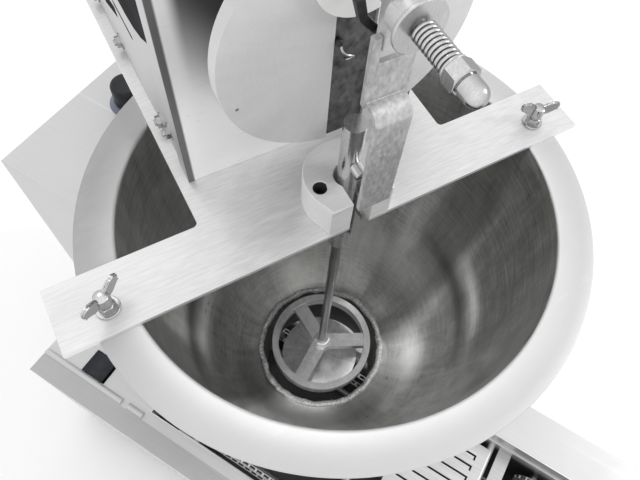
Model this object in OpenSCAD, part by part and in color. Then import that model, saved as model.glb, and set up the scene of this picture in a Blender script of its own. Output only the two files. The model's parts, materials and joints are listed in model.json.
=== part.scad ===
// Automatic donut maker: a dough depositor head on a swivel post above a conveyor fryer.
// Every hopper and crank size is given from the plunger axis and the top face of the hopper flange.

/* [Hopper] */
// Inner radius of the hopper mouth
hopper_r = 130; // [126:1:134]
// Outer radius of the hopper flange
flange_r = 152; // [150:1:156]
// Depth of the bowl below the flange
bowl_depth = 278; // [272:1:282]
// Thickness of the pressed sheet
sheet = 1.5; // [1:0.5:2]
// Outer radius of the outlet cylinder
outlet_r = 57; // [56:0.5:58]
// Inner radius of the outlet cylinder
outlet_bore_r = 55; // [53.5:0.5:55]
// Depth of the outlet's lower edge below the flange
outlet_depth = 350; // [345:1:352]

/* [Bridge plate and guide] */
// Thickness of the bridge plate
plate_t = 3; // [2:0.5:3]
// Half length of the crossbar
bar_half = 168; // [160:1:175]
// Half width of the stem that carries the drive
stem_half = 82.3; // [80:0.1:90]
// Reach of the stem behind the plunger axis
stem_back = 250; // [245:1:260]
// Distance of each wing bolt from the plunger axis
wing_x = 141; // [140:1:143]
// Radius of the bore in the guide boss
boss_bore_r = 8.2; // [8.2:0.1:9]
// Height of the guide boss above the plate
boss_h = 25.3; // [22:0.1:26]
// Half width of the slot in the boss and the plate
slot_half = 6.4; // [6:0.1:6.8]

/* [Crank drive] */
// Height of the crank shaft above the flange
crank_z = 119; // [118:1:121]
// Distance of the crank pin from the shaft, which is half of the plunger's stroke
crank_throw = 40; // [36:1:40]
// Radius of the crank disc
disc_r = 63.8; // [60:0.1:66]
// Thickness of the crank disc
disc_t = 7; // [6:0.5:9]
// Half width of the drive housing
housing_half = 76.3; // [74:0.1:80]
// Height of the drive housing's top above the flange
housing_top = 208; // [195:1:215]
// Reach of the drive housing behind the plunger axis
housing_back = 235; // [225:1:240]

/* [Plunger] */
// Outer radius of the spider ring
ring_r = 47.5; // [46:0.1:50]
// Inner radius of the spider ring
ring_bore_r = 41.5; // [38:0.1:43]
// Width of each spoke
spoke_w = 13; // [8:0.5:14]
// Radius of the cutter disc
cutter_r = 38; // [34:1:42]

/* [Fryer] */
// Height of the fryer's rim above the table
rim_z = 200; // [200:1:201]
// Length of the fryer's cabinet
cabinet_l = 900; // [880:10:940]
// Reach of the discharge chute past the cabinet
chute_reach = 150; // [140:1:160]
// Depth of the cabinet, front to back
cabinet_w = 254; // [252:1:256]
// Width of the oil tank, front to back
tank_w = 173; // [170:1:176]
// Depth of the oil tank below the rim
tank_depth = 116; // [112:1:118]

/* [Hidden] */
$fn = 64;
eps = 0.5;                       // overshoot of a cutting tool
flange_z = rim_z + 370;          // top of the hopper flange above the table
head_turn = 60;                  // heading of the head on its post
run = 0.05;                      // radial clearance of a running fit

// Plunger, guide and crank stations along the head's own Y
plate_front = -18.7;
bar_back = 20.6;
boss_r = 25;
boss_off = 0.6;
sleeve_low = -38;
sleeve_high = 12;
rod_r = 6.2;
rod_high = 73.5;
rod_low = -50;
link_z = 44;                     // height of the open pivot between strap and guide rod
bolt_head_r = 4;
bolt_front = -13.5;
plunger_rod_r = 3.5;
ring_top = -262;
ring_h = 12;
hub_r = 8.5;
spoke_turn = 93.5;               // heading of the first spoke
plunger_end = -306;
wing_y = -4;
wing_r = 3;

pin_z = crank_z + crank_throw;
disc_front = 10;
disc_back = disc_front + disc_t;
slot_deep = 5;
slide_front = disc_front + 1.5;
slide_half = 9.8;
groove_half = 10.2;
pin_r = 5;
stud_r = 3.2;
washer_front = -28.9;
washer_back = -27.3;
spring_front = -48.4;
nut_back = -49.6;
nut_flats = 11.1;
acorn_front = -56.6;
housing_front = 49;
shaft_r = 8;

// Strap and fork
strap_half = 9.5;
strap_t = 3;
strap_front = -27.2;
strap_low = 36.1;
bend_z = 112.3;
bend_r = 8.5;
fork_front = -18.1;
fork_top = 148;
notch_low = 134;
block_low = 141;
keeper_pin = [-4, block_low + 2.5];
block_half = 6.9;
block_front = -19;
block_back = -13;

// Fryer plan, measured from the plunger axis, X along the tank and Y to the back
cab_x0 = -263;
cab_x1 = cab_x0 + cabinet_l;
cab_y0 = -162;
cab_y1 = cab_y0 + cabinet_w;
cab_low = 25;
rim_strip = 32;
tank_y0 = cab_y0 + rim_strip;
tank_y1 = tank_y0 + tank_w;
tank_x0 = -125;
tank_x1 = 600;
tank_low = rim_z - tank_depth;
col_x1 = -150;
col_y0 = -60;
col_y1 = 135;
col_z = flange_z - 100;
post_d = 210;                    // distance from the plunger axis to the swivel post
post_r = 22;
post_x = -post_d * sin(head_turn);
post_y = post_d * cos(head_turn);
shaft_z = 140;
sprocket_r = 17;
chain_r = 18;
chain_t = 2;
conveyors = [[-80, 88], [275, 560]];
turner_x = 212;
turner_z = 168;
turner_l = 92;
turner_r = 4;
shaft_small_r = 5;
knob_x = -222;
knob_y = 40;
front_knob = [240, 118];
lamp_x = [286, 310];
spindle_r = 4;
switch_x = -202;
switch_y = -121;
switch_l = 30;
switch_w = 26;
drain_r = 6;
drain_y = 0;
drain_z = tank_low + 9;
gear_y0 = 80;
gear_y1 = 128;
gear_half = 38;
spring_r = 4.3;
wire_r = 0.85;
coils = 9;
spacer_front = 6.5;
spacer_r = 23.5;
trim_y = cab_y0 + 24;            // rail along the deck's front edge
trim_r = 3.5;
trim_gap = [-158, -150];
chain_y = [tank_y0 + 12, tank_y1 - 12];
chain_w = 5;
flight_h = 16;
flight_gap = 85;
bowl_steps = 20;

// The model's origin is the centre of its footprint on the table
corner_r = 6;
back_reach = (stem_half - corner_r) * sin(head_turn) + (stem_back - corner_r) * cos(head_turn) + corner_r;
knob_out = 22;
shift_x = -(cab_x0 + cab_x1 + chute_reach) / 2;
shift_y = -(cab_y0 - knob_out + back_reach) / 2;

// ---- frames and small shapes ----

// The head's own frame: plunger axis at the flange's top face, X along the crossbar
module head() { translate([shift_x, shift_y, flange_z]) rotate([0, 0, head_turn]) children(); }

// The fryer's frame: plunger axis at the table, X along the tank
module base() { translate([shift_x, shift_y, 0]) children(); }

module box(x0, x1, y0, y1, z0, z1) { translate([x0, y0, z0]) cube([x1 - x0, y1 - y0, z1 - z0]); }

module rod_x(r, x0, x1) { translate([x0, 0, 0]) rotate([0, 90, 0]) cylinder(r = r, h = x1 - x0); }

module rod_y(r, y0, y1) { translate([0, y0, 0]) rotate([-90, 0, 0]) cylinder(r = r, h = y1 - y0); }

module rod_z(r, z0, z1) { translate([0, 0, z0]) cylinder(r = r, h = z1 - z0); }

// Hexagonal prism along Y, by its width across flats
module hex_y(flats, y0, y1) {
    translate([0, y0, 0]) rotate([-90, 0, 0]) cylinder(r = flats / 2 / cos(30), h = y1 - y0, $fn = 6);
}

module hex_z(flats, z0, z1) { translate([0, 0, z0]) cylinder(r = flats / 2 / cos(30), h = z1 - z0, $fn = 6); }

// ---- hopper ----

// Point on the bowl's elliptical wall, at a distance out from its inner face
function bowl_point(i, out) =
    let (a = 90 * i / bowl_steps)
    [outlet_r + (hopper_r - outlet_r + out) * cos(a), -(bowl_depth + out) * sin(a)];

module hopper_bowl() {
    color("lightgray") head() difference() {
        rotate_extrude($fn = 96) polygon(concat(
            [for (i = [0:bowl_steps]) bowl_point(i, 0)],
            [for (i = [bowl_steps:-1:1]) bowl_point(i, sheet)],
            [[hopper_r + sheet, -sheet], [flange_r, -sheet], [flange_r, 0]]
        ));
        for (side = [-1, 1]) translate([side * wing_x, wing_y, 0]) rod_z(wing_r + 0.3, -sheet - eps, eps);
    }
}

module outlet_cylinder() {
    lip = 4;
    color("gray") head() difference() {
        union() {
            rod_z(outlet_r, -outlet_depth, -bowl_depth);
            rod_z(outlet_r + 2, -outlet_depth, -outlet_depth + lip);
        }
        rod_z(outlet_bore_r, -outlet_depth - eps, -bowl_depth + eps);
    }
}

// Split ring below the bowl, drawn tight by the ears
module outlet_clamp_ring() {
    ear = 18;
    ring_z = -bowl_depth - 30;
    color("silver") head() translate([0, 0, ring_z]) difference() {
        union() {
            cylinder(r = outlet_r + 6, h = 12);
            box(0, outlet_r + ear, -7, 7, 0, 12);
        }
        rod_z(outlet_r + run, -eps, 12 + eps);
        box(0, outlet_r + ear + eps, -1, 1, -eps, 12 + eps);
        translate([outlet_r + 12, 0, 6]) rod_y(2.5, -7 - eps, 7 + eps);
    }
}

module flange_weld_nuts() {
    nut_h = 5;
    color("silver") head() for (side = [-1, 1]) translate([side * wing_x, wing_y, 0]) difference() {
        hex_z(10, -sheet - nut_h, -sheet);
        rod_z(wing_r + run, -sheet - nut_h - eps, -sheet + eps);
    }
}

// ---- bridge plate, boss and guide ----

module stem_outline() {
    square_to = stem_back - corner_r;
    for (side = [-1, 1]) translate([side * (stem_half - corner_r), square_to]) circle(r = corner_r);
    translate([-stem_half, 0]) square([2 * stem_half, square_to]);
    translate([corner_r - stem_half, 0]) square([2 * (stem_half - corner_r), stem_back]);
}

module bridge_plate() {
    inner_r = 3;
    color("gainsboro") head() difference() {
        linear_extrude(plate_t) {
            translate([-bar_half, plate_front]) square([2 * bar_half, bar_back - plate_front]);
            stem_outline();
            for (side = [-1, 1]) translate([side * stem_half, bar_back]) mirror([side < 0 ? 1 : 0, 0]) difference() {
                square(inner_r);
                translate([inner_r, inner_r]) circle(r = inner_r);
            }
        }
        rod_z(boss_bore_r, -eps, plate_t + eps);
        box(-slot_half, slot_half, plate_front - eps, 0, -eps, plate_t + eps);
        for (side = [-1, 1]) translate([side * wing_x, wing_y, 0]) rod_z(wing_r + 0.3, -eps, plate_t + eps);
    }
}

module guide_boss() {
    flat_half = 19.5;
    top = plate_t + boss_h;
    color("gainsboro") head() difference() {
        translate([0, 0, plate_t]) linear_extrude(boss_h) {
            intersection() {
                translate([0, boss_off]) circle(r = boss_r);
                translate([-boss_r, plate_front]) square([2 * boss_r, 2 * boss_r]);
            }
            polygon([[-flat_half, plate_front], [flat_half, plate_front], [boss_r, boss_off], [-boss_r, boss_off]]);
        }
        rod_z(boss_bore_r, plate_t - eps, top + eps);
        box(-slot_half, slot_half, plate_front - eps, 0, plate_t - eps, top + eps);
        translate([-18, -1, 0]) rod_z(4, top - 18, top + eps);
    }
}

module guide_sleeve() {
    mouth = 4.8;
    collar_h = 6;
    color("darkgray") head() difference() {
        union() {
            rod_z(boss_bore_r, sleeve_low, sleeve_high);
            rod_z(boss_bore_r + 6, -collar_h, 0);
        }
        rod_z(rod_r + run, sleeve_low - eps, sleeve_high + eps);
        box(-mouth, mouth, -20, 0, sleeve_low - eps, sleeve_high + eps);
    }
}

// One wing bolt at the origin: shank, washer, hexagon, hub and two upright wings
module wing_bolt() {
    hex_top = 6;
    hub_top = 16;
    rod_z(wing_r, -sheet - 9, plate_t + hex_top + 1);
    translate([0, 0, plate_t]) {
        rod_z(6.5, 0.1, 1.4);
        hex_z(8, 1.4, hex_top);
        rod_z(4.2, hex_top, hub_top);
        rotate([90, 0, 0]) linear_extrude(2.4, center = true) for (side = [-1, 1]) {
            translate([side * 9.6, 16.8]) circle(r = 3.6);
            polygon([[0, 8], [side * 7, 9.4], [side * 13, 15.6], [side * 8.2, 20], [0, 15]]);
        }
    }
}

module wing_bolt_left() {
    color("silver") head() translate([-wing_x, wing_y, 0]) rotate([0, 0, 35]) wing_bolt();
}

module wing_bolt_right() {
    color("silver") head() translate([wing_x, wing_y, 0]) rotate([0, 0, -20]) wing_bolt();
}

// ---- drive housing ----

module housing_front_cover() {
    turn_in = 14;
    color("lightgray") head() difference() {
        box(-housing_half, housing_half, housing_front, housing_front + turn_in, plate_t, housing_top);
        box(sheet - housing_half, housing_half - sheet, housing_front + sheet, housing_back,
            plate_t - eps, housing_top + eps);
        translate([0, 0, crank_z]) rod_y(shaft_r + 3, housing_front - eps, housing_front + 2 * sheet);
    }
}

module housing_shell() {
    half = housing_half - sheet;
    foot = 12;
    color("lightgray") head() {
        difference() {
            box(-half, half, housing_front + sheet, housing_back, plate_t, housing_top);
            box(sheet - half, half - sheet, housing_front, housing_back - sheet, plate_t - eps, housing_top - sheet);
        }
        for (side = [-1, 1]) {
            box(side < 0 ? sheet - half : half - sheet - foot, side < 0 ? sheet - half + foot : half - sheet,
                housing_front + 20, housing_back - 20, plate_t, plate_t + sheet);
        }
    }
}

// Foot bolts along both sides of the housing, and two on its foot's corners
module housing_bolts() {
    wall = housing_half - sheet;
    head_h = 4;
    color("silver") head() for (side = [-1, 1]) for (at = [[164, 11], [92, 11], [74, 22], [212, 11]]) {
        reach = at[0] < housing_front + 14 ? housing_half : wall;
        translate([0, at[0], at[1]]) {
            if (side < 0) rod_x(4.5, -reach - head_h, -reach);
            if (side > 0) rod_x(4.5, reach, reach + head_h);
        }
    }
}

module shaft_bearing() {
    out_r = 20;
    color("dimgray") head() translate([0, 0, crank_z]) difference() {
        rod_y(out_r, housing_front + sheet, housing_front + 14);
        rod_y(shaft_r + run, housing_front, housing_front + 15);
    }
}

module gearbox() {
    color("slategray") head() translate([0, 0, crank_z]) difference() {
        box(-gear_half, gear_half, gear_y0, gear_y1, -gear_half, gear_half);
        rod_y(shaft_r + run, gear_y0 - eps, gear_y1 - 8);
    }
}

module gear_motor() {
    color("dimgray") head() translate([0, 0, crank_z]) {
        rod_y(34, gear_y1, 205);
        rod_y(28, 205, 222);
    }
}

module motor_stand() {
    wall = 4;
    half = gear_half + 6;
    seat = crank_z - gear_half;
    color("silver") head() difference() {
        box(-half, half, gear_y0, gear_y1 + wall, plate_t, seat);
        box(wall - half, half - wall, gear_y0 - eps, gear_y1 + wall + eps, plate_t + wall, seat - wall);
    }
}

// ---- swivel ----

module swivel_hub() {
    color("silver") head() translate([0, post_d, 0]) difference() {
        union() {
            rod_z(post_r + 7, -64, 0);
            rod_z(post_r + 16, -5, 0);
        }
        rod_z(post_r + run, -64 - eps, -6);
        translate([0, 0, -36]) rod_x(4 + run, post_r - 1, post_r + 8);
    }
}

module swivel_post() {
    color("silver") base() translate([post_x, post_y, 0]) {
        rod_z(post_r, col_z, flange_z - 6.5);
        rod_z(post_r + 6.5, col_z, col_z + 6);
    }
}

module clamp_handle() {
    color("dimgray") head() translate([0, post_d, -36]) {
        rod_x(4, post_r + 2.6, post_r + 36);
        rod_x(7, post_r + 12, post_r + 20);
        translate([post_r + 31, 0, 0]) rod_y(3, -22, 22);
        for (side = [-1, 1]) translate([post_r + 31, side * 22, 0]) sphere(r = 5);
    }
}

// ---- crank ----

module crank_disc() {
    color("gainsboro") head() difference() {
        translate([0, 0, crank_z]) rod_y(disc_r, disc_front, disc_back);
        box(-groove_half, groove_half, disc_front - eps, disc_front + slot_deep, crank_z - disc_r - 1, pin_z);
        translate([0, 0, pin_z]) rod_y(groove_half, disc_front - eps, disc_front + slot_deep);
        translate([-56, 0, crank_z - 18]) rod_y(0.9, disc_front - eps, disc_back + eps);
    }
}

module crank_shaft() {
    color("silver") head() translate([0, 0, crank_z]) {
        rod_y(shaft_r, disc_back, gear_y1 - 8.5);
        rod_y(15, disc_back, disc_back + 16);
    }
}

// Bar in the disc's groove that carries the pin; sliding it sets the stroke
module stroke_slide() {
    back = disc_front + slot_deep - 0.1;
    low = crank_z - disc_r + 1;
    color("dimgray") head() difference() {
        union() {
            box(-slide_half, slide_half, slide_front, back, low, pin_z);
            translate([0, 0, pin_z]) rod_y(slide_half, slide_front, back);
        }
        translate([0, 0, pin_z]) rod_y(pin_r, slide_front - eps, back + eps);
    }
}

module crank_pin() {
    color("silver") head() translate([0, 0, pin_z]) {
        rod_y(pin_r, washer_back, disc_front + slot_deep - 0.1);
        rod_y(stud_r, acorn_front + 1, washer_back);
    }
}

module nylon_spacer() {
    color("white") head() translate([0, 0, pin_z]) difference() {
        rod_y(spacer_r, spacer_front, disc_front - 0.3);
        rod_y(pin_r + run, spacer_front - eps, disc_front);
    }
}

module thrust_washer() {
    color("silver") head() translate([0, 0, pin_z]) difference() {
        rod_y(11.8, washer_front, washer_back);
        rod_y(stud_r + run, washer_front - eps, washer_back + eps);
    }
}

module retaining_spring() {
    length = washer_front - spring_front;
    pitch = (length - 2 * wire_r) / (coils - 1);
    color("silver") head() for (i = [0:coils - 1]) {
        translate([0, spring_front + wire_r + i * pitch, pin_z]) rotate([-90, 0, 0])
            rotate_extrude() translate([spring_r, 0]) circle(r = wire_r, $fn = 16);
    }
}

module spring_washer() {
    color("silver") head() translate([0, 0, pin_z]) difference() {
        rod_y(spring_r + 1.2, nut_back, spring_front);
        rod_y(stud_r + run, nut_back - eps, spring_front + eps);
    }
}

module acorn_nut() {
    dome_r = 4.8;
    dome_y = -61.9;
    color("silver") head() translate([0, 0, pin_z]) difference() {
        union() {
            hex_y(nut_flats, acorn_front, nut_back);
            rod_y(dome_r, dome_y, acorn_front);
            translate([0, dome_y, 0]) sphere(r = dome_r);
        }
        rod_y(stud_r + run, acorn_front, nut_back + eps);
    }
}

// ---- strap and fork ----

// Side outline of the bent strap in Y and Z
module strap_outline() {
    inner = bend_r - strap_t;
    translate([strap_front, strap_low]) square([strap_t, bend_z - bend_r - strap_low]);
    translate([strap_front + bend_r, bend_z - strap_t]) square([fork_front + strap_t - strap_front - bend_r, strap_t]);
    translate([strap_front + bend_r, bend_z - bend_r]) intersection() {
        difference() {
            circle(r = bend_r);
            circle(r = inner);
        }
        translate([-bend_r, 0]) square(bend_r);
    }
}

module connecting_fork() {
    prong = 11;
    low = bend_z - strap_t;
    color("silver") head() difference() {
        union() {
            translate([-strap_half, 0, 0]) rotate([90, 0, 90]) linear_extrude(2 * strap_half) strap_outline();
            box(-prong, prong, fork_front, fork_front + strap_t, low, fork_top);
        }
        box(-block_half - run, block_half + run, fork_front - eps, fork_front + strap_t + eps, notch_low, fork_top + eps);
    }
}

module fork_block() {
    top = pin_z + 11;
    bush_r = 9;
    color("silver") head() difference() {
        union() {
            box(-block_half, block_half, block_front, block_back, block_low, top);
            translate([0, 0, pin_z]) rod_y(bush_r, strap_front, block_front + 0.5);
        }
        translate([0, 0, pin_z]) rod_y(pin_r + run, strap_front - eps, block_back + eps);
        translate([keeper_pin[0], 0, keeper_pin[1]]) rod_y(1.5, block_back - 3, block_back + eps);
    }
}

// Spring keeper hooked behind the block
module keeper_lever() {
    back = -6.6;
    front = back - 3.2;
    color("dimgray") head() {
        translate([0, front, 0]) rotate([90, 0, 0]) mirror([0, 0, 1]) linear_extrude(back - front) {
            polygon([[-15.5, 160], [-11.5, 160], [-9.5, 152], [1.5, 138.5], [-1, 136.5], [-12.5, 150]]);
        }
        translate([keeper_pin[0], 0, keeper_pin[1]]) rod_y(1.5, block_back - 3, front);
    }
}

// ---- plunger ----

module guide_rod() {
    color("silver") head() difference() {
        rod_z(rod_r, rod_low, rod_high);
        translate([0, 0, link_z]) rod_y(2.5, -rod_r - eps, 3);
    }
}

module pivot_bolt() {
    flat = 1.6;
    color("silver") head() translate([0, 0, link_z]) difference() {
        union() {
            rod_y(bolt_head_r, bolt_front, -rod_r);
            rod_y(2.5, -rod_r, 3);
        }
        box(-bolt_head_r - eps, bolt_head_r + eps, bolt_front - eps, bolt_front + 2, -flat / 2, flat / 2);
    }
}

module plunger_rod() { color("dimgray") head() rod_z(plunger_rod_r, plunger_end + 2, rod_low); }

module spider_ring() {
    color("gray") head() translate([0, 0, ring_top - ring_h]) difference() {
        union() {
            difference() {
                cylinder(r = ring_r, h = ring_h);
                rod_z(ring_bore_r, -eps, ring_h + eps);
            }
            for (i = [0:2]) rotate([0, 0, spoke_turn + 120 * i])
                box(hub_r / 2, ring_bore_r + 3, -spoke_w / 2, spoke_w / 2, 3, ring_h - 1);
            cylinder(r = hub_r, h = ring_h);
        }
        rod_z(plunger_rod_r, -eps, ring_h + eps);
    }
}

module hub_nut() {
    color("silver") head() translate([0, 0, ring_top]) difference() {
        hex_z(13, 0, 7);
        rod_z(plunger_rod_r, -eps, 7 + eps);
    }
}

module cutter_disc() {
    color("gainsboro") head() difference() {
        translate([0, 0, plunger_end]) cylinder(r = cutter_r, h = 3.5);
        rod_z(plunger_rod_r, plunger_end + 2, plunger_end + 4);
    }
}

// ---- fryer cabinet and tank ----

module cabinet() {
    color("silver") base() {
        translate([0, trim_y, rim_z]) {
            trim_rod(cab_x0 + 1, trim_gap[0]);
            trim_rod(trim_gap[1], tank_x0 - 5);
        }
        cabinet_body();
    }
}

// Half-round rail along X, standing on the deck
module trim_rod(x0, x1) {
    difference() {
        rod_x(trim_r, x0, x1);
        box(x0 - eps, x1 + eps, -trim_r - eps, trim_r + eps, -trim_r - eps, -0.2);
    }
}

module cabinet_body() {
    difference() {
        box(cab_x0, cab_x1, cab_y0, cab_y1, cab_low, rim_z);
        box(cab_x0 + sheet, cab_x1 - sheet, cab_y0 + sheet, cab_y1 - sheet, cab_low + sheet, rim_z - sheet);
        box(tank_x0 - sheet, tank_x1 + sheet, tank_y0 - sheet, tank_y1 + sheet, rim_z - 2 * sheet, rim_z + eps);
        translate([switch_x, switch_y, 0])
            box(-switch_l / 2, switch_l / 2, -switch_w / 2, switch_w / 2, rim_z - 2 * sheet, rim_z + eps);
        translate([0, drain_y, drain_z]) rod_x(drain_r, cab_x1 - 2 * sheet, cab_x1 + eps);
        translate([front_knob[0], 0, front_knob[1]]) rod_y(spindle_r + run, cab_y0 - eps, cab_y0 + 2 * sheet);
    }
}

module feet() {
    color("black") base() for (x = [cab_x0 + 40, cab_x1 - 40]) for (y = [cab_y0 + 32, cab_y1 - 32]) {
        translate([x, y, 0]) cylinder(r = 18, h = cab_low);
    }
}

module oil_tank() {
    color("lightgray") base() difference() {
        box(tank_x0 - sheet, tank_x1 + sheet, tank_y0 - sheet, tank_y1 + sheet, tank_low - sheet, rim_z);
        box(tank_x0, tank_x1, tank_y0, tank_y1, tank_low, rim_z + eps);
        translate([0, drain_y, drain_z]) rod_x(drain_r, tank_x1 - eps, tank_x1 + 2);
    }
}

// Three-pass tube heater on the tank floor
module heater_element() {
    tube_r = 4;
    bend = 22;
    x0 = tank_x0 + 30;
    x1 = 550;
    low = tank_low + 8;
    mid = (tank_y0 + tank_y1) / 2;
    color("dimgray") base() translate([0, mid, low]) {
        for (k = [-1.5, -0.5, 0.5, 1.5]) translate([0, k * 2 * bend, 0]) rod_x(tube_r, x0, x1);
        for (k = [-1, 1]) translate([x1, k * 2 * bend, 0]) rotate([0, 0, -90])
            rotate_extrude(angle = 180) translate([bend, 0]) circle(r = tube_r, $fn = 24);
        translate([x0, 0, 0]) rotate([0, 0, 90]) rotate_extrude(angle = 180) translate([bend, 0]) circle(r = tube_r, $fn = 24);
        for (side = [-1, 1]) translate([0, side * 3 * bend, 0]) rod_x(tube_r, tank_x0, x0);
    }
}

// ---- conveyors ----

// Closed loop round two wheels at x0 and x1, seen along Y
module loop_outline(x0, x1, r) {
    translate([x0, -r]) square([x1 - x0, 2 * r]);
    for (x = [x0, x1]) translate([x, 0]) circle(r = r);
}

module conveyor_chains() {
    color("silver") base() for (c = conveyors) for (y = chain_y) {
        translate([0, y + chain_w / 2, shaft_z]) rotate([90, 0, 0]) linear_extrude(chain_w) difference() {
            loop_outline(c[0], c[1], chain_r + chain_t);
            loop_outline(c[0], c[1], chain_r);
        }
    }
}

// Slotted pusher plate with its two lugs on the chains, standing up from the loop
module flight() {
    half = (chain_y[1] - chain_y[0] + chain_w) / 2;
    slots = 11;
    pitch = 2 * (half - 8) / slots;
    translate([0, (chain_y[0] + chain_y[1]) / 2, chain_r + chain_t]) difference() {
        box(-1, 1, -half, half, 0, flight_h);
        for (i = [0:slots - 1]) translate([0, -half + 8 + (i + 0.5) * pitch, 0])
            box(-2, 2, -1.6, 1.6, 3.5, flight_h - 3.5);
    }
}

module conveyor_flights() {
    color("silver") base() translate([0, 0, shaft_z]) for (c = conveyors) {
        count = floor((c[1] - c[0]) / flight_gap);
        for (i = [0:count]) {
            x = c[0] + (c[1] - c[0]) * i / count;
            translate([x, 0, 0]) flight();
            translate([x, 0, 0]) mirror([0, 0, 1]) flight();
        }
    }
}

// Side rails that carry the shafts, hung on the tank's long walls
module conveyor_rails() {
    rail_t = 2;
    x0 = [conveyors[0][0] - 14, turner_x - 12];
    color("lightgray") base() {
        box(turner_x + 9, turner_x + 24, tank_y0 + 1, tank_y1 - 1, turner_z, turner_z + 1.5);
        conveyor_side_rails(rail_t, x0);
    }
}

module conveyor_side_rails(rail_t, x0) {
    for (k = [0, 1]) for (y = [tank_y0, tank_y1 - rail_t]) difference() {
        box(x0[k], conveyors[k][1] + 14, y, y + rail_t, shaft_z - 14, shaft_z + 40);
        for (x = conveyors[k]) translate([x, y, shaft_z]) rod_y(shaft_small_r + run, -eps, rail_t + eps);
        translate([turner_x, y, turner_z]) rod_y(turner_r + run, -eps, rail_t + eps);
    }
}

module conveyor_shaft(x) {
    base() translate([x, 0, shaft_z]) {
        rod_y(shaft_small_r, tank_y0 + 0.3, tank_y1 - 0.3);
        for (y = chain_y) rod_y(sprocket_r, y - 1.5, y + 1.5);
    }
}

module intake_shaft() { color("silver") conveyor_shaft(conveyors[0][0]); }

module transfer_shaft() { color("silver") conveyor_shaft(conveyors[0][1]); }

module return_shaft() { color("silver") conveyor_shaft(conveyors[1][0]); }

module exit_shaft() { color("silver") conveyor_shaft(conveyors[1][1]); }

// Slotted plate that lifts a doughnut and lays it down on its other side
module turner() {
    plate = 1.5;
    half = tank_w / 2 - 10;
    slots = 11;
    slot_half = 1.1;
    slot_end = -11;
    pitch = 2 * (half - 8) / slots;
    color("silver") base() translate([turner_x, (tank_y0 + tank_y1) / 2, turner_z]) {
        rod_y(turner_r, -tank_w / 2 + 0.3, tank_w / 2 - 0.3);
        difference() {
            box(-turner_l, 0, -half, half, turner_r - plate, turner_r);
            for (i = [0:slots - 1]) translate([0, -half + 8 + (i + 0.5) * pitch, 0]) {
                box(-turner_l + 10, slot_end, -slot_half, slot_half, 0, 5);
                box(slot_end - 2 * slot_half, slot_end, -5, slot_half, 0, 5);
            }
        }
    }
}

// Side outline of the chute between two heights above its floor
module chute_strip(x0, crest_x, x1, crest_z, lift, drop, low, high) {
    polygon([
        [x0, crest_z - lift + low], [crest_x, crest_z + low], [x1, crest_z - drop + low],
        [x1, crest_z - drop + high], [crest_x, crest_z + high], [x0, crest_z - lift + high]
    ]);
}

module discharge_chute() {
    t = 2;
    side_h = 16;
    lift = 24;                   // rise of the ramp out of the oil
    drop = 40;                   // fall of the chute past the crest
    crest_x = tank_x1 + 6;
    crest_z = rim_z + t + 7.5;
    x0 = tank_x1 - 34;
    x1 = cab_x1 + chute_reach;
    wide = tank_w - 12;
    color("silver") base() translate([0, tank_y1 - 6, 0]) rotate([90, 0, 0]) {
        linear_extrude(wide) chute_strip(x0, crest_x, x1, crest_z, lift, drop, -t, 0);
        for (y = [0, wide - t]) translate([0, 0, y]) linear_extrude(t) {
            chute_strip(x0, crest_x, x1, crest_z, lift, drop, -t, side_h);
            translate([crest_x - 2, rim_z]) square([cab_x1 - crest_x, crest_z - rim_z - 1]);
        }
    }
}

module drain_pipe() {
    color("silver") base() translate([0, drain_y, drain_z]) difference() {
        union() {
            rod_x(drain_r, tank_x1, cab_x1 + 60);
            rod_x(11, cab_x1 + 16, cab_x1 + 44);
        }
        translate([cab_x1 + 30, 0, 0]) rod_z(3 + run, 0, 12);
    }
}

module drain_lever() {
    color("firebrick") base() translate([cab_x1 + 30, drain_y, drain_z]) {
        rod_z(3, 1, 17);
        rod_z(8, 13, 17);
        box(-5, 5, 0, 62, 13, 16);
    }
}

// ---- column, controls and feet ----

module column_space(inset) {
    box(cab_x0 + inset, col_x1 - inset, col_y0 + inset, col_y1 + eps, rim_z + inset, col_z - inset);
    box(cab_x0 + inset, col_x1 - inset, cab_y1 + inset, col_y1 + eps, inset, rim_z + 2 * inset);
}

module column_shell() {
    color("gainsboro") base() difference() {
        intersection() {
            column_space(0);
            box(cab_x0, col_x1, col_y0, col_y1, 0, col_z);
        }
        column_space(sheet);
        translate([knob_x, knob_y, 0]) rod_z(spindle_r + run, col_z - 2 * sheet, col_z + eps);
    }
}

module column_back_panel() {
    color("lightgray") base() difference() {
        box(cab_x0, col_x1, col_y1, col_y1 + sheet, 0, col_z);
        translate([cab_x0 + 56, 0, 90]) rod_y(8, col_y1 - eps, col_y1 + 3);
    }
}

module cord_gland() {
    color("black") base() translate([cab_x0 + 56, 0, 90]) difference() {
        union() {
            rod_y(8, col_y1 - 8, col_y1 + 18);
            rod_y(12, col_y1 + sheet, col_y1 + 10);
        }
        rod_y(4, col_y1 - 9, col_y1 + 19);
    }
}

module conveyor_motor() {
    color("dimgray") base() translate([-200, 20, 285]) {
        rod_y(28, 0, 84);
        box(-32, 32, -40, 0, -32, 32);
        box(-34, 34, -40, 84, -285 + rim_z + sheet, -32);
    }
}

module indicator_lamps() {
    color("orange") base() for (x = lamp_x) translate([x, 0, front_knob[1]]) {
        rod_y(6, cab_y0 - 5, cab_y0);
    }
}

// Round knob with a flared skirt, base at the origin and axis up
module knob(r, skirt_r, h) {
    cylinder(r = skirt_r, h = 4);
    rod_z(r, 4, h);
}

module speed_knob() {
    color("black") base() translate([knob_x, knob_y, col_z + 0.3]) {
        knob(12.5, 17, 23);
        rod_z(spindle_r, -8, 0);
    }
}

module temperature_knob() {
    color("black") base() translate([front_knob[0], cab_y0, front_knob[1]]) rotate([90, 0, 0]) {
        translate([0, 0, 0.3]) knob(15, 19, knob_out - 0.3);
        rod_z(spindle_r, -8, 0.3);
    }
}

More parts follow.
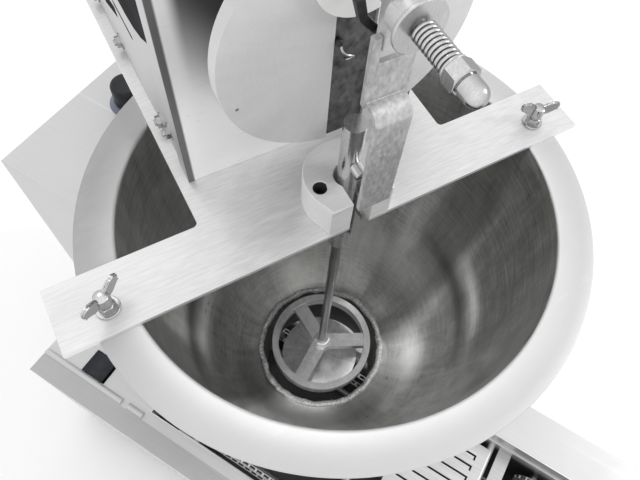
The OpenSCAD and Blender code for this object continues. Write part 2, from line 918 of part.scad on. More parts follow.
module rocker_switch() {
    half_l = switch_l / 2 - 2;
    half_w = switch_w / 2 - 0.5;
    dish_r = 61;
    color("black") base() translate([switch_x, switch_y, rim_z]) difference() {
        union() {
            box(-half_l, half_l, -half_w, half_w, -1, 4);
            box(-half_l + 5, half_l - 5, -half_w, half_w, -10, -1);
            translate([0, 0, -5]) rod_y(2, -half_w - 1, half_w + 1);
        }
        translate([0, 0, dish_r + 2]) rod_y(dish_r, -half_w - eps, half_w + eps);
    }
}

hopper_bowl();
outlet_cylinder();
outlet_clamp_ring();
bridge_plate();
guide_boss();
guide_sleeve();
flange_weld_nuts();
housing_front_cover();
housing_shell();
housing_bolts();
gearbox();
gear_motor();
motor_stand();
shaft_bearing();
swivel_hub();
wing_bolt_left();
wing_bolt_right();
clamp_handle();
crank_disc();
crank_shaft();
stroke_slide();
crank_pin();
nylon_spacer();
thrust_washer();
retaining_spring();
spring_washer();
acorn_nut();
connecting_fork();
fork_block();
keeper_lever();
guide_rod();
pivot_bolt();
plunger_rod();
spider_ring();
hub_nut();
cutter_disc();
cabinet();
feet();
oil_tank();
heater_element();
conveyor_rails();
conveyor_chains();
conveyor_flights();
discharge_chute();
column_shell();
column_back_panel();
swivel_post();
indicator_lamps();
cord_gland();
drain_pipe();
conveyor_motor();
speed_knob();
temperature_knob();
rocker_switch();
turner();
drain_lever();
intake_shaft();
transfer_shaft();
return_shaft();
exit_shaft();
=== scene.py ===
import json
import math

import bmesh
import bpy
from bpy.props import FloatProperty, FloatVectorProperty, IntProperty, PointerProperty
from mathutils import Matrix, Vector

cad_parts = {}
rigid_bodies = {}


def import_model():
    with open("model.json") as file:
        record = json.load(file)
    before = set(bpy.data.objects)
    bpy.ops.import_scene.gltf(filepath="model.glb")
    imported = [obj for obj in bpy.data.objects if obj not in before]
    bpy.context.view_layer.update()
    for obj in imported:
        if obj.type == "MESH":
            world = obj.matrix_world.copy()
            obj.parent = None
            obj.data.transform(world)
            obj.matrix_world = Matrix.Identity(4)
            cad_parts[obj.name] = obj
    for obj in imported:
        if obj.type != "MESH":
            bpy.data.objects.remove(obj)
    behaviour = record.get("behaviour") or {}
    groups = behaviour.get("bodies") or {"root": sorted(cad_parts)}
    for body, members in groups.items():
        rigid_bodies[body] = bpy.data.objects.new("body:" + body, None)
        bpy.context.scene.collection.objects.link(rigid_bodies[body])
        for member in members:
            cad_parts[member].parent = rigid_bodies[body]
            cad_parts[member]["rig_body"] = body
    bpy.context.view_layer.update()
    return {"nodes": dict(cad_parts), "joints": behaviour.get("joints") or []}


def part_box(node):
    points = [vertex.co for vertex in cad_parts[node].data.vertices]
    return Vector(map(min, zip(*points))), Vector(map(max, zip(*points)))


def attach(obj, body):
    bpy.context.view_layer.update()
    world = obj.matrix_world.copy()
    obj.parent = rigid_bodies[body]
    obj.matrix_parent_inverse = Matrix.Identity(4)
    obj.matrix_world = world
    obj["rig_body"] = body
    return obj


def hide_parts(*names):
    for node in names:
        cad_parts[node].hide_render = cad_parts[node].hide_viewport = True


bl_info = {
    "name": "Doughnut Maker",
    "version": (1, 0, 0),
    "blender": (4, 5, 0),
    "location": "View3D > Sidebar > Doughnut Maker",
    "description": "Dresses a doughnut maker's solids with steel finishes, fasteners and trim",
    "category": "Add Mesh",
}

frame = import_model()

MM = 0.001
SAME_POINT = 1e-6
JOINTS = {joint["name"]: joint for joint in frame["joints"]}


def joint_at(name):
    """Where a joint stands at rest."""
    return Vector(JOINTS[name]["pos_m"])


# The head's own frame: plunger axis at the hopper flange's top face, X along the crossbar
CRANK_AXIS = Vector(JOINTS["crank_turn"]["axis"])
HEADING = math.atan2(-CRANK_AXIS.x, CRANK_AXIS.y)
PLUNGER = joint_at("crank_turn").xy
FLANGE_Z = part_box("bridge_plate")[0].z
HEAD = Matrix.Translation((*PLUNGER, FLANGE_Z)) @ Matrix.Rotation(HEADING, 4, "Z")

# Sizes that the frame gives, with heights above the flange's top face
PIN_Z = joint_at("fork_swing").z - FLANGE_Z
PLATE_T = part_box("bridge_plate")[1].z - FLANGE_Z
FLANGE_R = (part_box("hopper_bowl")[1].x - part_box("hopper_bowl")[0].x) / 2
BOWL_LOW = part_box("hopper_bowl")[0].z - FLANGE_Z
OUTLET_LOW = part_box("outlet_cylinder")[0].z - FLANGE_Z
WING_X = (joint_at("right_wing_turn").xy - joint_at("left_wing_turn").xy).length / 2


# ---- settings ----


def amount(name, description, default, **limits):
    return FloatProperty(name=name, description=description, default=default, **limits)


def length(name, description, default):
    return amount(name, description, default, unit="LENGTH")


def count(name, description, default):
    return IntProperty(name=name, description=description, default=default)


def triple(name, description, default, **kind):
    return FloatVectorProperty(name=name, description=description, default=default, size=3, **kind)


def colour(name, description, default):
    return triple(name, description, default, subtype="COLOR")


class HopperSettings(bpy.types.PropertyGroup):
    """Sizes of the hopper and its outlet"""

    mouth_r: length("Mouth radius", "Inner radius of the hopper mouth", 0.130)
    sheet: length("Sheet", "Thickness of the pressed bowl", 0.0015)
    outlet_r: length("Outlet radius", "Outer radius of the outlet cylinder", 0.057)
    outlet_bore_r: length("Outlet bore", "Inner radius of the outlet cylinder", 0.055)
    turns: count("Facets", "Facets round the bowl", 160)


class FastenerSettings(bpy.types.PropertyGroup):
    """Sizes of the small bought parts"""

    nut_flats: length("Nut", "Width of the crank's acorn nut across flats", 0.0111)
    dome_r: length("Dome", "Radius of the acorn nut's dome", 0.0048)
    coil_r: length("Spring radius", "Radius of the spring to the wire's centre", 0.0043)
    wire_r: length("Wire radius", "Radius of the spring's wire", 0.00085)
    coils: count("Coils", "Turns of the spring", 9)
    wing_span: length("Wing span", "Span of a wing bolt's wings", 0.0264)


class FinishSettings(bpy.types.PropertyGroup):
    """Colours of the finishes"""

    sheet_steel: colour("Sheet steel", "Brushed plates and cabinet", (0.8, 0.8, 0.805))
    # The bowl steel is darker than the sheet steel as a painted dark reflection inside the bowl
    bowl_steel: colour("Bowl steel", "Spun wall of the hopper", (0.46, 0.46, 0.45))
    dark_steel: colour("Dark steel", "Oiled and blackened steel", (0.045, 0.045, 0.046))
    knob_black: colour("Knob black", "Moulded knobs and switches", (0.012, 0.013, 0.018))


class StageSettings(bpy.types.PropertyGroup):
    """Camera, floor and light"""

    lens: amount("Lens", "Focal length on a 36 mm sensor", 33.65)
    eye: triple("Eye", "Place of the camera", (-0.188752, -0.176205, 0.873635), unit="LENGTH")
    turn: triple("Turn", "Turn of the camera", tuple(math.radians(a) for a in (30.0954, -5.7204, 30.2518)),
                 subtype="EULER")
    floor_grey: amount("Floor", "Brightness of the floor", 1.0, min=0, max=1)
    daylight: amount("Daylight", "Strength of the surrounding light", 1.0, min=0)


SETTINGS = {
    "doughnut_hopper": HopperSettings,
    "doughnut_fasteners": FastenerSettings,
    "doughnut_finish": FinishSettings,
    "doughnut_stage": StageSettings,
}


# ---- meshes ----


def mm(*points):
    """Points given in millimetres, in metres."""
    return [tuple(value * MM for value in point) for point in points]


def new_object(name, data):
    made = bpy.data.objects.new(name, data)
    bpy.context.scene.collection.objects.link(made)
    return made


def baked(holder):
    """The plain mesh of an object with its modifiers or its curve run once."""
    shown = bpy.context.evaluated_depsgraph_get()
    return bpy.data.meshes.new_from_object(holder.evaluated_get(shown), depsgraph=shown)


def new_piece(name, mesh, body, material, place=None, smooth=30):
    """An object that rides on a body, with its place in its mesh."""
    piece = new_object(name, mesh)
    if place is not None:
        mesh.transform(place)
    if not mesh.materials:
        mesh.materials.append(material)
    mesh.shade_smooth()
    mesh.set_sharp_from_angle(angle=math.radians(smooth))
    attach(piece, body)
    return piece


def from_bmesh(name, bm):
    bmesh.ops.recalc_face_normals(bm, faces=bm.faces)
    mesh = bpy.data.meshes.new(name)
    bm.to_mesh(mesh)
    bm.free()
    return mesh


def add_ring(bm, turns, at):
    """A ring of vertices about Z. A function gives the radius and the height at each angle."""
    ring = []
    for i in range(turns):
        a = 2 * math.pi * i / turns
        reach, z = at(a)
        ring.append(bm.verts.new((reach * math.cos(a), reach * math.sin(a), z)))
    return ring


def skin(bm, rings, turns):
    """Faces between each ring and the next. A ring of one vertex is a pole."""
    for low, high in zip(rings, rings[1:]):
        for i in range(turns):
            j = (i + 1) % turns
            corners = [low[i % len(low)], low[j % len(low)], high[j % len(high)], high[i % len(high)]]
            face = list(dict.fromkeys(corners))
            if len(face) > 2:
                bm.faces.new(face)


def add_lathe(bm, section, turns=48, radius=None):
    """Turns a closed or open section of (radius, height) pairs about Z. A radius of 0 closes a pole."""
    rings = []
    for r, z in section:
        if r == 0:
            rings.append([bm.verts.new((0, 0, z))])
        else:
            rings.append(add_ring(bm, turns, lambda a: (radius(a, r, z) if radius else r, z)))
    skin(bm, rings, turns)


def add_hex(bm, flats, low, high, hole=0.0):
    """A hexagonal nut or bolt head about Z, with its corners chamfered as a turned nut's are."""
    turns = 72
    inner = flats / 2
    face_r = inner * 0.96
    bore = hole or inner * 0.3
    slope = math.tan(math.radians(30))

    def side(a):
        return inner / math.cos((a + math.pi / 6) % (math.pi / 3) - math.pi / 6)

    def drop(a):
        return (side(a) - face_r) * slope

    sections = (
        lambda a: (bore, low), lambda a: (face_r, low), lambda a: (side(a), low + drop(a)),
        lambda a: (side(a), high - drop(a)), lambda a: (face_r, high), lambda a: (bore, high))
    rings = [add_ring(bm, turns, at) for at in sections]
    skin(bm, rings + rings[:1] if hole else rings, turns)
    if not hole:
        bm.faces.new(rings[0][::-1])
        bm.faces.new(rings[-1])


def add_prism(bm, outline, low, high, place=Matrix(), bevel=0.0, segments=2):
    """A straight prism of a flat outline, with the edges of both ends rounded."""
    bottom = [bm.verts.new(place @ Vector((x, y, low))) for x, y in outline]
    top = [bm.verts.new(place @ Vector((x, y, high))) for x, y in outline]
    ends = [bm.faces.new(bottom[::-1]), bm.faces.new(top)]
    for i in range(len(outline)):
        j = (i + 1) % len(outline)
        bm.faces.new((bottom[i], bottom[j], top[j], top[i]))
    if bevel:
        rims = [edge for face in ends for edge in face.edges]
        bmesh.ops.bevel(bm, geom=rims, offset=bevel, segments=segments, affect="EDGES", clamp_overlap=True)


def arc(cx, cy, r, a0, a1, steps):
    """Points along an arc, in degrees."""
    turn = [math.radians(a0 + (a1 - a0) * i / steps) for i in range(steps + 1)]
    return [(cx + r * math.cos(a), cy + r * math.sin(a)) for a in turn]


def along_y(x, y, z):
    """Turns a piece built about Z so that its axis runs along +Y from a point."""
    return Matrix.Translation((x, y, z)) @ Matrix.Rotation(math.radians(-90), 4, "X")


def along_x(x, y, z):
    """Turns a piece built about Z so that its axis runs along +X from a point."""
    return Matrix.Translation((x, y, z)) @ Matrix.Rotation(math.radians(90), 4, "Y")


def stand_for(piece, node):
    """The piece replaces a CAD node, which is hidden."""
    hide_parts(node)


def dress(node, look, edge):
    """A copy of a CAD node stands for it, with clean faces and with edges broken by some millimetres."""
    source = frame["nodes"][node]
    bm = bmesh.new()
    bm.from_mesh(source.data)
    bmesh.ops.remove_doubles(bm, verts=bm.verts, dist=SAME_POINT)
    bmesh.ops.dissolve_limit(bm, angle_limit=math.radians(0.5), verts=bm.verts, edges=bm.edges)
    mesh = bpy.data.meshes.new(node + "_dressed")
    bm.to_mesh(mesh)
    bm.free()
    piece = new_object(mesh.name, mesh)
    bevel = piece.modifiers.new("Broken edges", "BEVEL")
    bevel.width = edge * MM
    bevel.segments = 2
    bevel.limit_method = "ANGLE"
    bevel.angle_limit = math.radians(40)
    bevel.use_clamp_overlap = True
    mesh.shade_smooth()
    flat = piece.modifiers.new("Flat faces", "WEIGHTED_NORMAL")
    flat.weight = 100
    piece.data = baked(piece)
    piece.modifiers.clear()
    piece.data.name = piece.name
    piece.data.materials.clear()
    piece.data.materials.append(finish(look))
    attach(piece, source["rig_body"])
    stand_for(piece, node)
    return piece


def paint(look, *nodes):
    """Gives CAD nodes their finish."""
    for node in nodes:
        mesh = frame["nodes"][node].data
        mesh.materials.clear()
        mesh.materials.append(finish(look))


# ---- geometry node trees ----


class Tree:
    """Short calls for building a node tree."""

    def __init__(self, tree):
        self.tree = tree

    def add(self, kind, inputs=None, **settings):
        node = self.tree.nodes.new(kind)
        for key, value in settings.items():
            setattr(node, key, value)
        for key, value in (inputs or {}).items():
            socket = node.inputs[key]
            if isinstance(value, bpy.types.NodeSocket):
                self.tree.links.new(value, socket)
            else:
                socket.default_value = value
        return node

    def out(self, kind, inputs=None, output=0, **settings):
        return self.add(kind, inputs, **settings).outputs[output]

    def link(self, value, socket):
        self.tree.links.new(value, socket)

    def math(self, operation, *values):
        return self.out("ShaderNodeMath", dict(enumerate(values)), operation=operation)

    def product(self, first, second):
        return self.math("MULTIPLY", first, second)

    def vector(self, x=0.0, y=0.0, z=0.0):
        return self.out("ShaderNodeCombineXYZ", {"X": x, "Y": y, "Z": z})

    def linear(self, value, slope, start):
        return self.math("MULTIPLY_ADD", value, slope, start)

    def noise(self, place, scale, detail=2.0, rough=0.5, distortion=0.0, output=0, **seed):
        values = {"Vector": place, "Scale": scale, "Detail": detail, "Roughness": rough,
                  "Distortion": distortion, **seed}
        return self.out("ShaderNodeTexNoise", values, output, noise_dimensions="4D" if seed else "3D")

    def spread(self, value, low=0.0, high=1.0, to_low=0.0, to_high=1.0, **settings):
        """Maps one range of a value to another."""
        ends = {"From Min": low, "From Max": high, "To Min": to_low, "To Max": to_high}
        return self.out("ShaderNodeMapRange", {"Value": value, **ends}, **settings)

    def mix(self, factor, first, second):
        """A colour between two, each a socket or a tint."""
        first, second = ((*c, 1) if isinstance(c, tuple) else c for c in (first, second))
        values = {"Factor": factor, "A": first, "B": second}
        return self.out("ShaderNodeMix", values, output=2, data_type="RGBA")

    def circle(self, points, radius):
        values = {"Resolution": points, "Radius": radius}
        return self.out("GeometryNodeCurvePrimitiveCircle", values, mode="RADIUS")

    def swept(self, path, section, **extra):
        return self.out("GeometryNodeCurveToMesh", {"Curve": path, "Profile Curve": section, **extra})

    def cylinder(self, sides, radius, depth):
        return self.out("GeometryNodeMeshCylinder", {"Vertices": sides, "Radius": radius, "Depth": depth})

    def moved(self, shape, by):
        return self.out("GeometryNodeTransform", {"Geometry": shape, "Translation": by})

    def joined(self, *shapes):
        join = self.add("GeometryNodeJoinGeometry")
        for shape in shapes:
            self.link(shape, join.inputs[0])
        return join.outputs[0]

    def copies(self, points, shape, **turn):
        return self.out("GeometryNodeInstanceOnPoints", {"Points": points, "Instance": shape, **turn})


SOCKETS = {float: "NodeSocketFloat", int: "NodeSocketInt", tuple: "NodeSocketVector"}


def shape_tree(name, **sizes):
    """An empty geometry tree with an input for each size. Returns its helper, its inputs and its end."""
    tree = bpy.data.node_groups.new(name, "GeometryNodeTree")
    tree.interface.new_socket("Geometry", in_out="INPUT", socket_type="NodeSocketGeometry")
    for label, value in sizes.items():
        label = label.replace("_", " ")
        socket = tree.interface.new_socket(label, in_out="INPUT", socket_type=SOCKETS[type(value)])
        socket.default_value = value
    tree.interface.new_socket("Material", in_out="INPUT", socket_type="NodeSocketMaterial")
    tree.interface.new_socket("Geometry", in_out="OUTPUT", socket_type="NodeSocketGeometry")
    helper = Tree(tree)
    return helper, helper.add("NodeGroupInput").outputs, helper.add("NodeGroupOutput")


def close_tree(t, inputs, end, shape):
    """Ends a tree in Realize Instances and Set Material."""
    solid = t.out("GeometryNodeRealizeInstances", {0: shape})
    painted = t.out("GeometryNodeSetMaterial", {"Geometry": solid, "Material": inputs["Material"]})
    t.link(painted, end.inputs[0])
    return t.tree


def grow(tree, name, body, look, values, place=None, start=None, smooth=30):
    """Runs a geometry tree once and keeps its result as a plain piece on one body."""
    holder = new_object(name + "_maker", start or bpy.data.meshes.new(name + "_start"))
    maker = holder.modifiers.new("Make", "NODES")
    maker.node_group = tree
    values = {**values, "Material": finish(look)}
    for item in tree.interface.items_tree:
        if item.item_type == "SOCKET" and item.in_out == "INPUT" and item.name in values:
            maker[item.identifier] = values[item.name]
    mesh = baked(holder)
    holder.modifiers.remove(maker)
    bpy.data.objects.remove(holder)
    mesh.name = name
    return new_piece(name, mesh, body, None, place, smooth)


def revolve_tree():
    """Turns a section, given as edges in the XZ plane, about Z into a wall."""
    t, inputs, end = shape_tree("Turned wall", Radius=0.1, Facets=96)
    path = t.circle(inputs["Facets"], inputs["Radius"])
    upright = t.out("GeometryNodeSetCurveNormal", {"Curve": path}, mode="Z_UP")
    section = t.out("GeometryNodeMeshToCurve", {"Mesh": inputs["Geometry"]})
    return close_tree(t, inputs, end, t.swept(upright, section))


def coil_tree():
    """A round wire wound about Z."""
    t, inputs, end = shape_tree("Wound wire", Coil_radius=4 * MM, Wire_radius=MM, Length=20 * MM, Coils=10.0)
    radius = inputs["Coil radius"]
    spiral = t.out("GeometryNodeCurveSpiral", {
        "Resolution": 36, "Rotations": inputs["Coils"], "Start Radius": radius, "End Radius": radius,
        "Height": inputs["Length"]})
    ring = t.circle(12, inputs["Wire radius"])
    return close_tree(t, inputs, end, t.swept(spiral, ring, **{"Fill Caps": True}))


def weld_tree():
    """A hand-laid weld bead round a circle: its thickness and path wander."""
    t, inputs, end = shape_tree("Weld bead", Radius=55 * MM, Bead=2 * MM, Wander=2 * MM, Seed=3.0)
    sway_scale, ripple_scale = 55.0, 190.0
    place = t.out("GeometryNodeInputPosition")
    sway = t.noise(place, sway_scale, 3.0, output="Color", W=inputs["Seed"])
    centred = t.out("ShaderNodeVectorMath", {0: sway, 1: (0.5, 0.5, 0.5)}, operation="SUBTRACT")
    push = t.out("ShaderNodeVectorMath", {0: centred, "Scale": inputs["Wander"]}, operation="SCALE")
    path = t.out("GeometryNodeSetPosition", {"Geometry": t.circle(260, inputs["Radius"]), "Offset": push})
    thickness = t.linear(t.noise(place, ripple_scale, W=inputs["Seed"]), 1.3, 0.35)
    return close_tree(t, inputs, end, t.swept(path, t.circle(10, inputs["Bead"]), Scale=thickness))


def bolt_tree():
    """A washer, a hexagon head and a stub on every face, each with its axis along the face's normal."""
    t, inputs, end = shape_tree("Bolt heads", Flats=7 * MM, Height=3 * MM, Washer=5.5 * MM)
    washer_t, stub_l, stub_share = 0.8 * MM, 2 * MM, 0.28
    corners = t.math("DIVIDE", inputs["Flats"], 2 * math.cos(math.radians(30)))
    lift = t.linear(inputs["Height"], 0.5, washer_t)
    head = t.moved(t.cylinder(6, corners, inputs["Height"]), t.vector(z=lift))
    washer = t.moved(t.cylinder(28, inputs["Washer"], washer_t), (0, 0, washer_t / 2))
    stub = t.cylinder(20, t.product(inputs["Flats"], stub_share), stub_l)
    stub = t.moved(stub, t.vector(z=t.math("ADD", inputs["Height"], stub_l / 2)))
    bolt = t.joined(head, washer, stub)
    facing = t.out("GeometryNodeInputNormal")
    turn = t.out("FunctionNodeAlignRotationToVector", {"Vector": facing}, axis="Z")
    values = {"Geometry": inputs["Geometry"], "Name": "turn", "Value": turn}
    stored = t.out("GeometryNodeStoreNamedAttribute", values, data_type="QUATERNION", domain="FACE")
    centres = t.out("GeometryNodeMeshToPoints", {"Mesh": stored}, mode="FACES")
    kept = t.out("GeometryNodeInputNamedAttribute", {"Name": "turn"}, data_type="QUATERNION")
    return close_tree(t, inputs, end, t.copies(centres, bolt, Rotation=kept))


def chain_tree():
    """A roller chain round two wheels: link plates and rollers laid along a stadium path in the XZ plane."""
    t, inputs, end = shape_tree("Roller chain", Span=0.2, Wheel=19 * MM, Pitch=9 * MM, Width=5 * MM)
    plate_t, plate_h, roller_r = 0.9 * MM, 3.6 * MM, 1.8 * MM
    plate_share, side_share, just_short = 0.93, 0.42, 0.999
    upright = (math.pi / 2, 0, 0)
    across = t.product(inputs["Wheel"], 2.0)
    size = {"Width": t.math("ADD", inputs["Span"], across), "Height": across}
    loop = t.out("GeometryNodeCurvePrimitiveQuadrilateral", size, mode="RECTANGLE")
    bend = t.product(inputs["Wheel"], just_short)
    loop = t.out("GeometryNodeFilletCurve", {"Curve": loop, "Count": 12, "Radius": bend}, mode="POLY")
    loop = t.out("GeometryNodeTransform", {"Geometry": loop, "Rotation": upright})
    links = t.out("GeometryNodeResampleCurve", {"Curve": loop, "Length": inputs["Pitch"]}, mode="LENGTH")
    plate_l = t.product(inputs["Pitch"], plate_share)
    plate = t.out("GeometryNodeMeshCube", {"Size": t.vector(plate_l, plate_t, plate_h)})
    half = t.product(inputs["Width"], side_share)
    sides = [t.moved(plate, t.vector(y=y)) for y in (half, t.product(half, -1.0))]
    roller = t.out("GeometryNodeTransform", {
        "Geometry": t.cylinder(14, roller_r, inputs["Width"]), "Rotation": upright,
        "Translation": t.vector(t.product(inputs["Pitch"], 0.5))})
    tangent = t.out("GeometryNodeInputTangent")
    turn = t.out("FunctionNodeAlignRotationToVector", {"Vector": tangent}, axis="X", pivot_axis="Y")
    return close_tree(t, inputs, end, t.copies(links, t.joined(*sides, roller), Rotation=turn))


def row_tree():
    """Repeats the incoming shape along a line."""
    t, inputs, end = shape_tree("Row", Count=8, Step=(0.0, 0.0, 10 * MM))
    values = {"Count": inputs["Count"], "Offset": inputs["Step"]}
    line = t.out("GeometryNodeMeshLine", values, mode="OFFSET")
    return close_tree(t, inputs, end, t.copies(line, inputs["Geometry"]))


# ---- finishes ----


def mask_group(name, inputs, outputs):
    """An empty shader group with named inputs and outputs. Returns its helper, its inputs and its end."""
    tree = bpy.data.node_groups.new(name, "ShaderNodeTree")
    tree.interface.new_socket("Vector", in_out="INPUT", socket_type="NodeSocketVector")
    for label, value in inputs.items():
        socket = tree.interface.new_socket(label, in_out="INPUT", socket_type="NodeSocketFloat")
        socket.default_value = value
    for label in outputs:
        tree.interface.new_socket(label, in_out="OUTPUT", socket_type="NodeSocketFloat")
    t = Tree(tree)
    return t, t.add("NodeGroupInput").outputs, t.add("NodeGroupOutput").inputs


def grain_group():
    """Brushing lines along X, broad soft patches, and scratches along the lines."""
    t, start, end = mask_group("Steel grain", {"Lines": 900.0, "Stretch": 0.03, "Patches": 14.0},
                               ("Lines", "Patches", "Scratches"))
    drawn = t.out("ShaderNodeVectorMath", {0: start["Vector"], 1: t.vector(start["Stretch"], 1.0, 1.0)},
                  operation="MULTIPLY")
    t.link(t.noise(drawn, start["Lines"], 4.0, 0.6), end["Lines"])
    t.link(t.noise(start["Vector"], start["Patches"], 5.0, 0.62), end["Patches"])
    t.link(t.spread(t.noise(drawn, t.product(start["Lines"], 0.22)), 0.66, 0.74), end["Scratches"])
    return t.tree


def film_group():
    """Soft smears and small specks of dried oil and flour."""
    t, start, end = mask_group("Kitchen film", {"Amount": 0.5}, ("Smear", "Specks"))
    smear = t.spread(t.noise(start["Vector"], 22.0, 7.0, 0.7, 0.6), 0.48, 0.78)
    t.link(t.product(smear, start["Amount"]), end["Smear"])
    specks = t.out("ShaderNodeTexVoronoi", {"Vector": start["Vector"], "Scale": 240.0})
    chance = t.spread(t.noise(start["Vector"], 60.0), 0.58, 0.66)
    specks = t.product(t.spread(specks, 0.09, 0.03), chance)
    t.link(t.product(specks, start["Amount"]), end["Specks"])
    return t.tree


GROUPS = {}


def shared(t, build, inputs):
    """Places a shader group, which is built the first time. Returns its outputs."""
    if build not in GROUPS:
        GROUPS[build] = build()
    return t.add("ShaderNodeGroup", inputs, node_tree=GROUPS[build]).outputs


def start_material(name):
    """A new material with its tree's helper and its shader's sockets."""
    material = bpy.data.materials.new(name)
    material.use_nodes = True
    return material, Tree(material.node_tree), material.node_tree.nodes["Principled BSDF"].inputs


def scaled(tint, by):
    return tuple(min(1.0, c * by) for c in tint)


def surface(t, shader, colours, roughness, height, bump, depth):
    """Links what a finish works out: its colour, its roughness and its relief."""
    t.link(colours, shader["Base Color"])
    t.link(roughness, shader["Roughness"])
    relief = {"Strength": bump, "Distance": depth, "Height": height}
    t.link(t.out("ShaderNodeBump", relief), shader["Normal"])


LINES_ALONG = {"bar": (0, 0, -HEADING), "x": (0, 0, 0), "z": (0, math.pi / 2, 0)}
TONE_RANGE = (0.36, 0.64)
# Tints of the painted highlights and painted shade in the bowl's bands
PAINTED_HIGHLIGHT_TINT = (1, 1, 0.98)
PAINTED_SHADE_TINT = (0.05, 0.05, 0.05)


def faded(t, place, base, tint, along, start, stop):
    """Painted light and shade: a soft change of shade along a direction of the head's frame, between two
    distances in metres.
    """
    heading = HEAD.to_3x3() @ Vector(along)
    shift = heading.dot(HEAD.translation)
    reach = t.out("ShaderNodeVectorMath", {0: place, 1: tuple(heading)}, output=1, operation="DOT_PRODUCT")
    return t.mix(t.spread(reach, start + shift, stop + shift, interpolation_type="SMOOTHSTEP"), base, tint)


def steel(name, tint, along, rough, lines, stretch, contrast, bump, film, metallic, rim=0.0, painted_fades=()):
    """Brushed or ground steel: lines along a direction, soft patches, scratches and a thin film of dirt.

    rim darkens the glancing edges with painted shade, and each painted fade paints light or shade on it
    between two distances in the head's frame."""
    material, t, shader = start_material(name)
    object_place = t.out("ShaderNodeTexCoord", output=3)
    place = t.out("ShaderNodeMapping", {"Vector": object_place, "Rotation": LINES_ALONG[along]})
    grain = shared(t, grain_group, {"Vector": place, "Lines": lines, "Stretch": stretch})
    dirt = shared(t, film_group, {"Vector": place, "Amount": film})
    tone = t.linear(grain["Lines"], 0.62, t.product(grain["Patches"], 0.38))
    tone = t.spread(tone, *TONE_RANGE)
    base = t.mix(tone, scaled(tint, 1 - contrast), scaled(tint, 1 + contrast * 0.6))
    for mask, strength, shade in ((grain["Scratches"], 0.35, 1.25), (dirt["Smear"], 0.28, 0.72),
                                  (dirt["Specks"], 0.8, 0.45)):
        base = t.mix(t.product(mask, strength), base, scaled(tint, shade))
    # Painted light and shade along directions of the head's frame
    for direction, start, stop, shade in painted_fades:
        base = faded(t, object_place, base, scaled(tint, shade), direction, start, stop)
    # Painted shade: the glancing edges darken towards a tenth of the tint
    if rim:
        glancing = t.out("ShaderNodeLayerWeight", {"Blend": 0.6}, output=1)
        base = t.mix(t.product(glancing, rim), base, scaled(tint, 0.1))
    shader["Metallic"].default_value = metallic
    roughness = t.linear(dirt["Smear"], 0.22, t.spread(tone, to_low=rough[0], to_high=rough[1]))
    height = t.math("SUBTRACT", grain["Lines"], grain["Scratches"])
    surface(t, shader, base, roughness, height, bump, 0.4 * MM)
    return material


def spun_steel(name, tint, centre, rough, contrast, rings, bump, blotch, metallic, face=False, streak=0.0,
               painted_bands=()):
    """Turned metal: rings round an upright axis, broken by scuffs that cross them, or on a disc's face.

    Each band is a painted highlight, or painted shade where its strength is below 0: its heading and half
    width in degrees, its level and half height in metres, and its strength."""
    material, t, shader = start_material(name)
    place = t.out("ShaderNodeTexCoord", output=3)
    offset = t.out("ShaderNodeVectorMath", {0: place, 1: tuple(-c for c in centre)}, operation="ADD")
    if face:
        for turn in ((0, 0, -HEADING), (math.pi / 2, 0, 0)):
            offset = t.out("ShaderNodeMapping", {"Vector": offset, "Rotation": turn})
    part = t.add("ShaderNodeSeparateXYZ", {0: offset}).outputs
    turn = t.math("ARCTAN2", part["Y"], part["X"])
    reach = t.out("ShaderNodeVectorMath", {0: t.vector(part["X"], part["Y"])}, output=1, operation="LENGTH")
    across = reach if face else t.math("ADD", part["Z"], reach)

    def wound(size, height):
        """A place on a tube, so that noise closes on itself round the axis."""
        x, y = (t.product(t.math(wave, turn), size) for wave in ("SINE", "COSINE"))
        return t.vector(x, y, height)

    lines = t.noise(wound(0.012, across), rings, 5.0, 0.65)
    blotches = t.noise(offset, blotch, 6.0, 0.66, 0.8)
    scuffs = t.noise(wound(1.4, t.product(across, 2.2)), 7.0, 8.0, 0.72, 0.4)
    dirt = shared(t, film_group, {"Vector": place, "Amount": 0.5})
    tone = t.linear(lines, 0.3, t.linear(blotches, 0.35, t.product(scuffs, 0.35)))
    tone = t.spread(tone, *TONE_RANGE)
    base = t.mix(tone, scaled(tint, 1 - contrast), scaled(tint, 1 + contrast))
    base = t.mix(t.product(dirt["Specks"], 0.7), base, scaled(tint, 1.6))
    shader["Metallic"].default_value = metallic
    painted_highlight_mask = None
    # Painted highlights and painted shade in bands round the bowl; the painted highlights also lower the
    # metallic weight
    for heading, half_width, level, half_height, strength in painted_bands:
        facing = t.math("COSINE", t.math("SUBTRACT", turn, math.radians(heading)))
        sharp = math.log(0.5) / math.log(math.cos(math.radians(half_width)))
        band = t.math("POWER", t.math("MAXIMUM", facing, 0.0), sharp)
        rise = t.math("DIVIDE", t.math("SUBTRACT", part["Z"], level), half_height)
        band = t.product(band, t.math("POWER", 0.5, t.product(rise, rise)))
        band = t.product(band, t.spread(tone, to_low=0.6 * abs(strength), to_high=abs(strength)))
        base = t.mix(band, base, PAINTED_HIGHLIGHT_TINT if strength > 0 else PAINTED_SHADE_TINT)
        if strength > 0:
            painted_highlight_mask = band if painted_highlight_mask is None else t.math("MAXIMUM", painted_highlight_mask, band)
    if painted_highlight_mask is not None:
        t.link(t.linear(painted_highlight_mask, -metallic, metallic), shader["Metallic"])
    shader["Anisotropic"].default_value = streak
    shader["Anisotropic Rotation"].default_value = 0.25
    t.link(t.vector(t.product(part["Y"], -1.0), part["X"]), shader["Tangent"])
    height = t.linear(lines, 0.6, t.product(blotches, 0.4))
    surface(t, shader, base, t.spread(tone, to_low=rough[0], to_high=rough[1]), height, bump, 0.6 * MM)
    return material


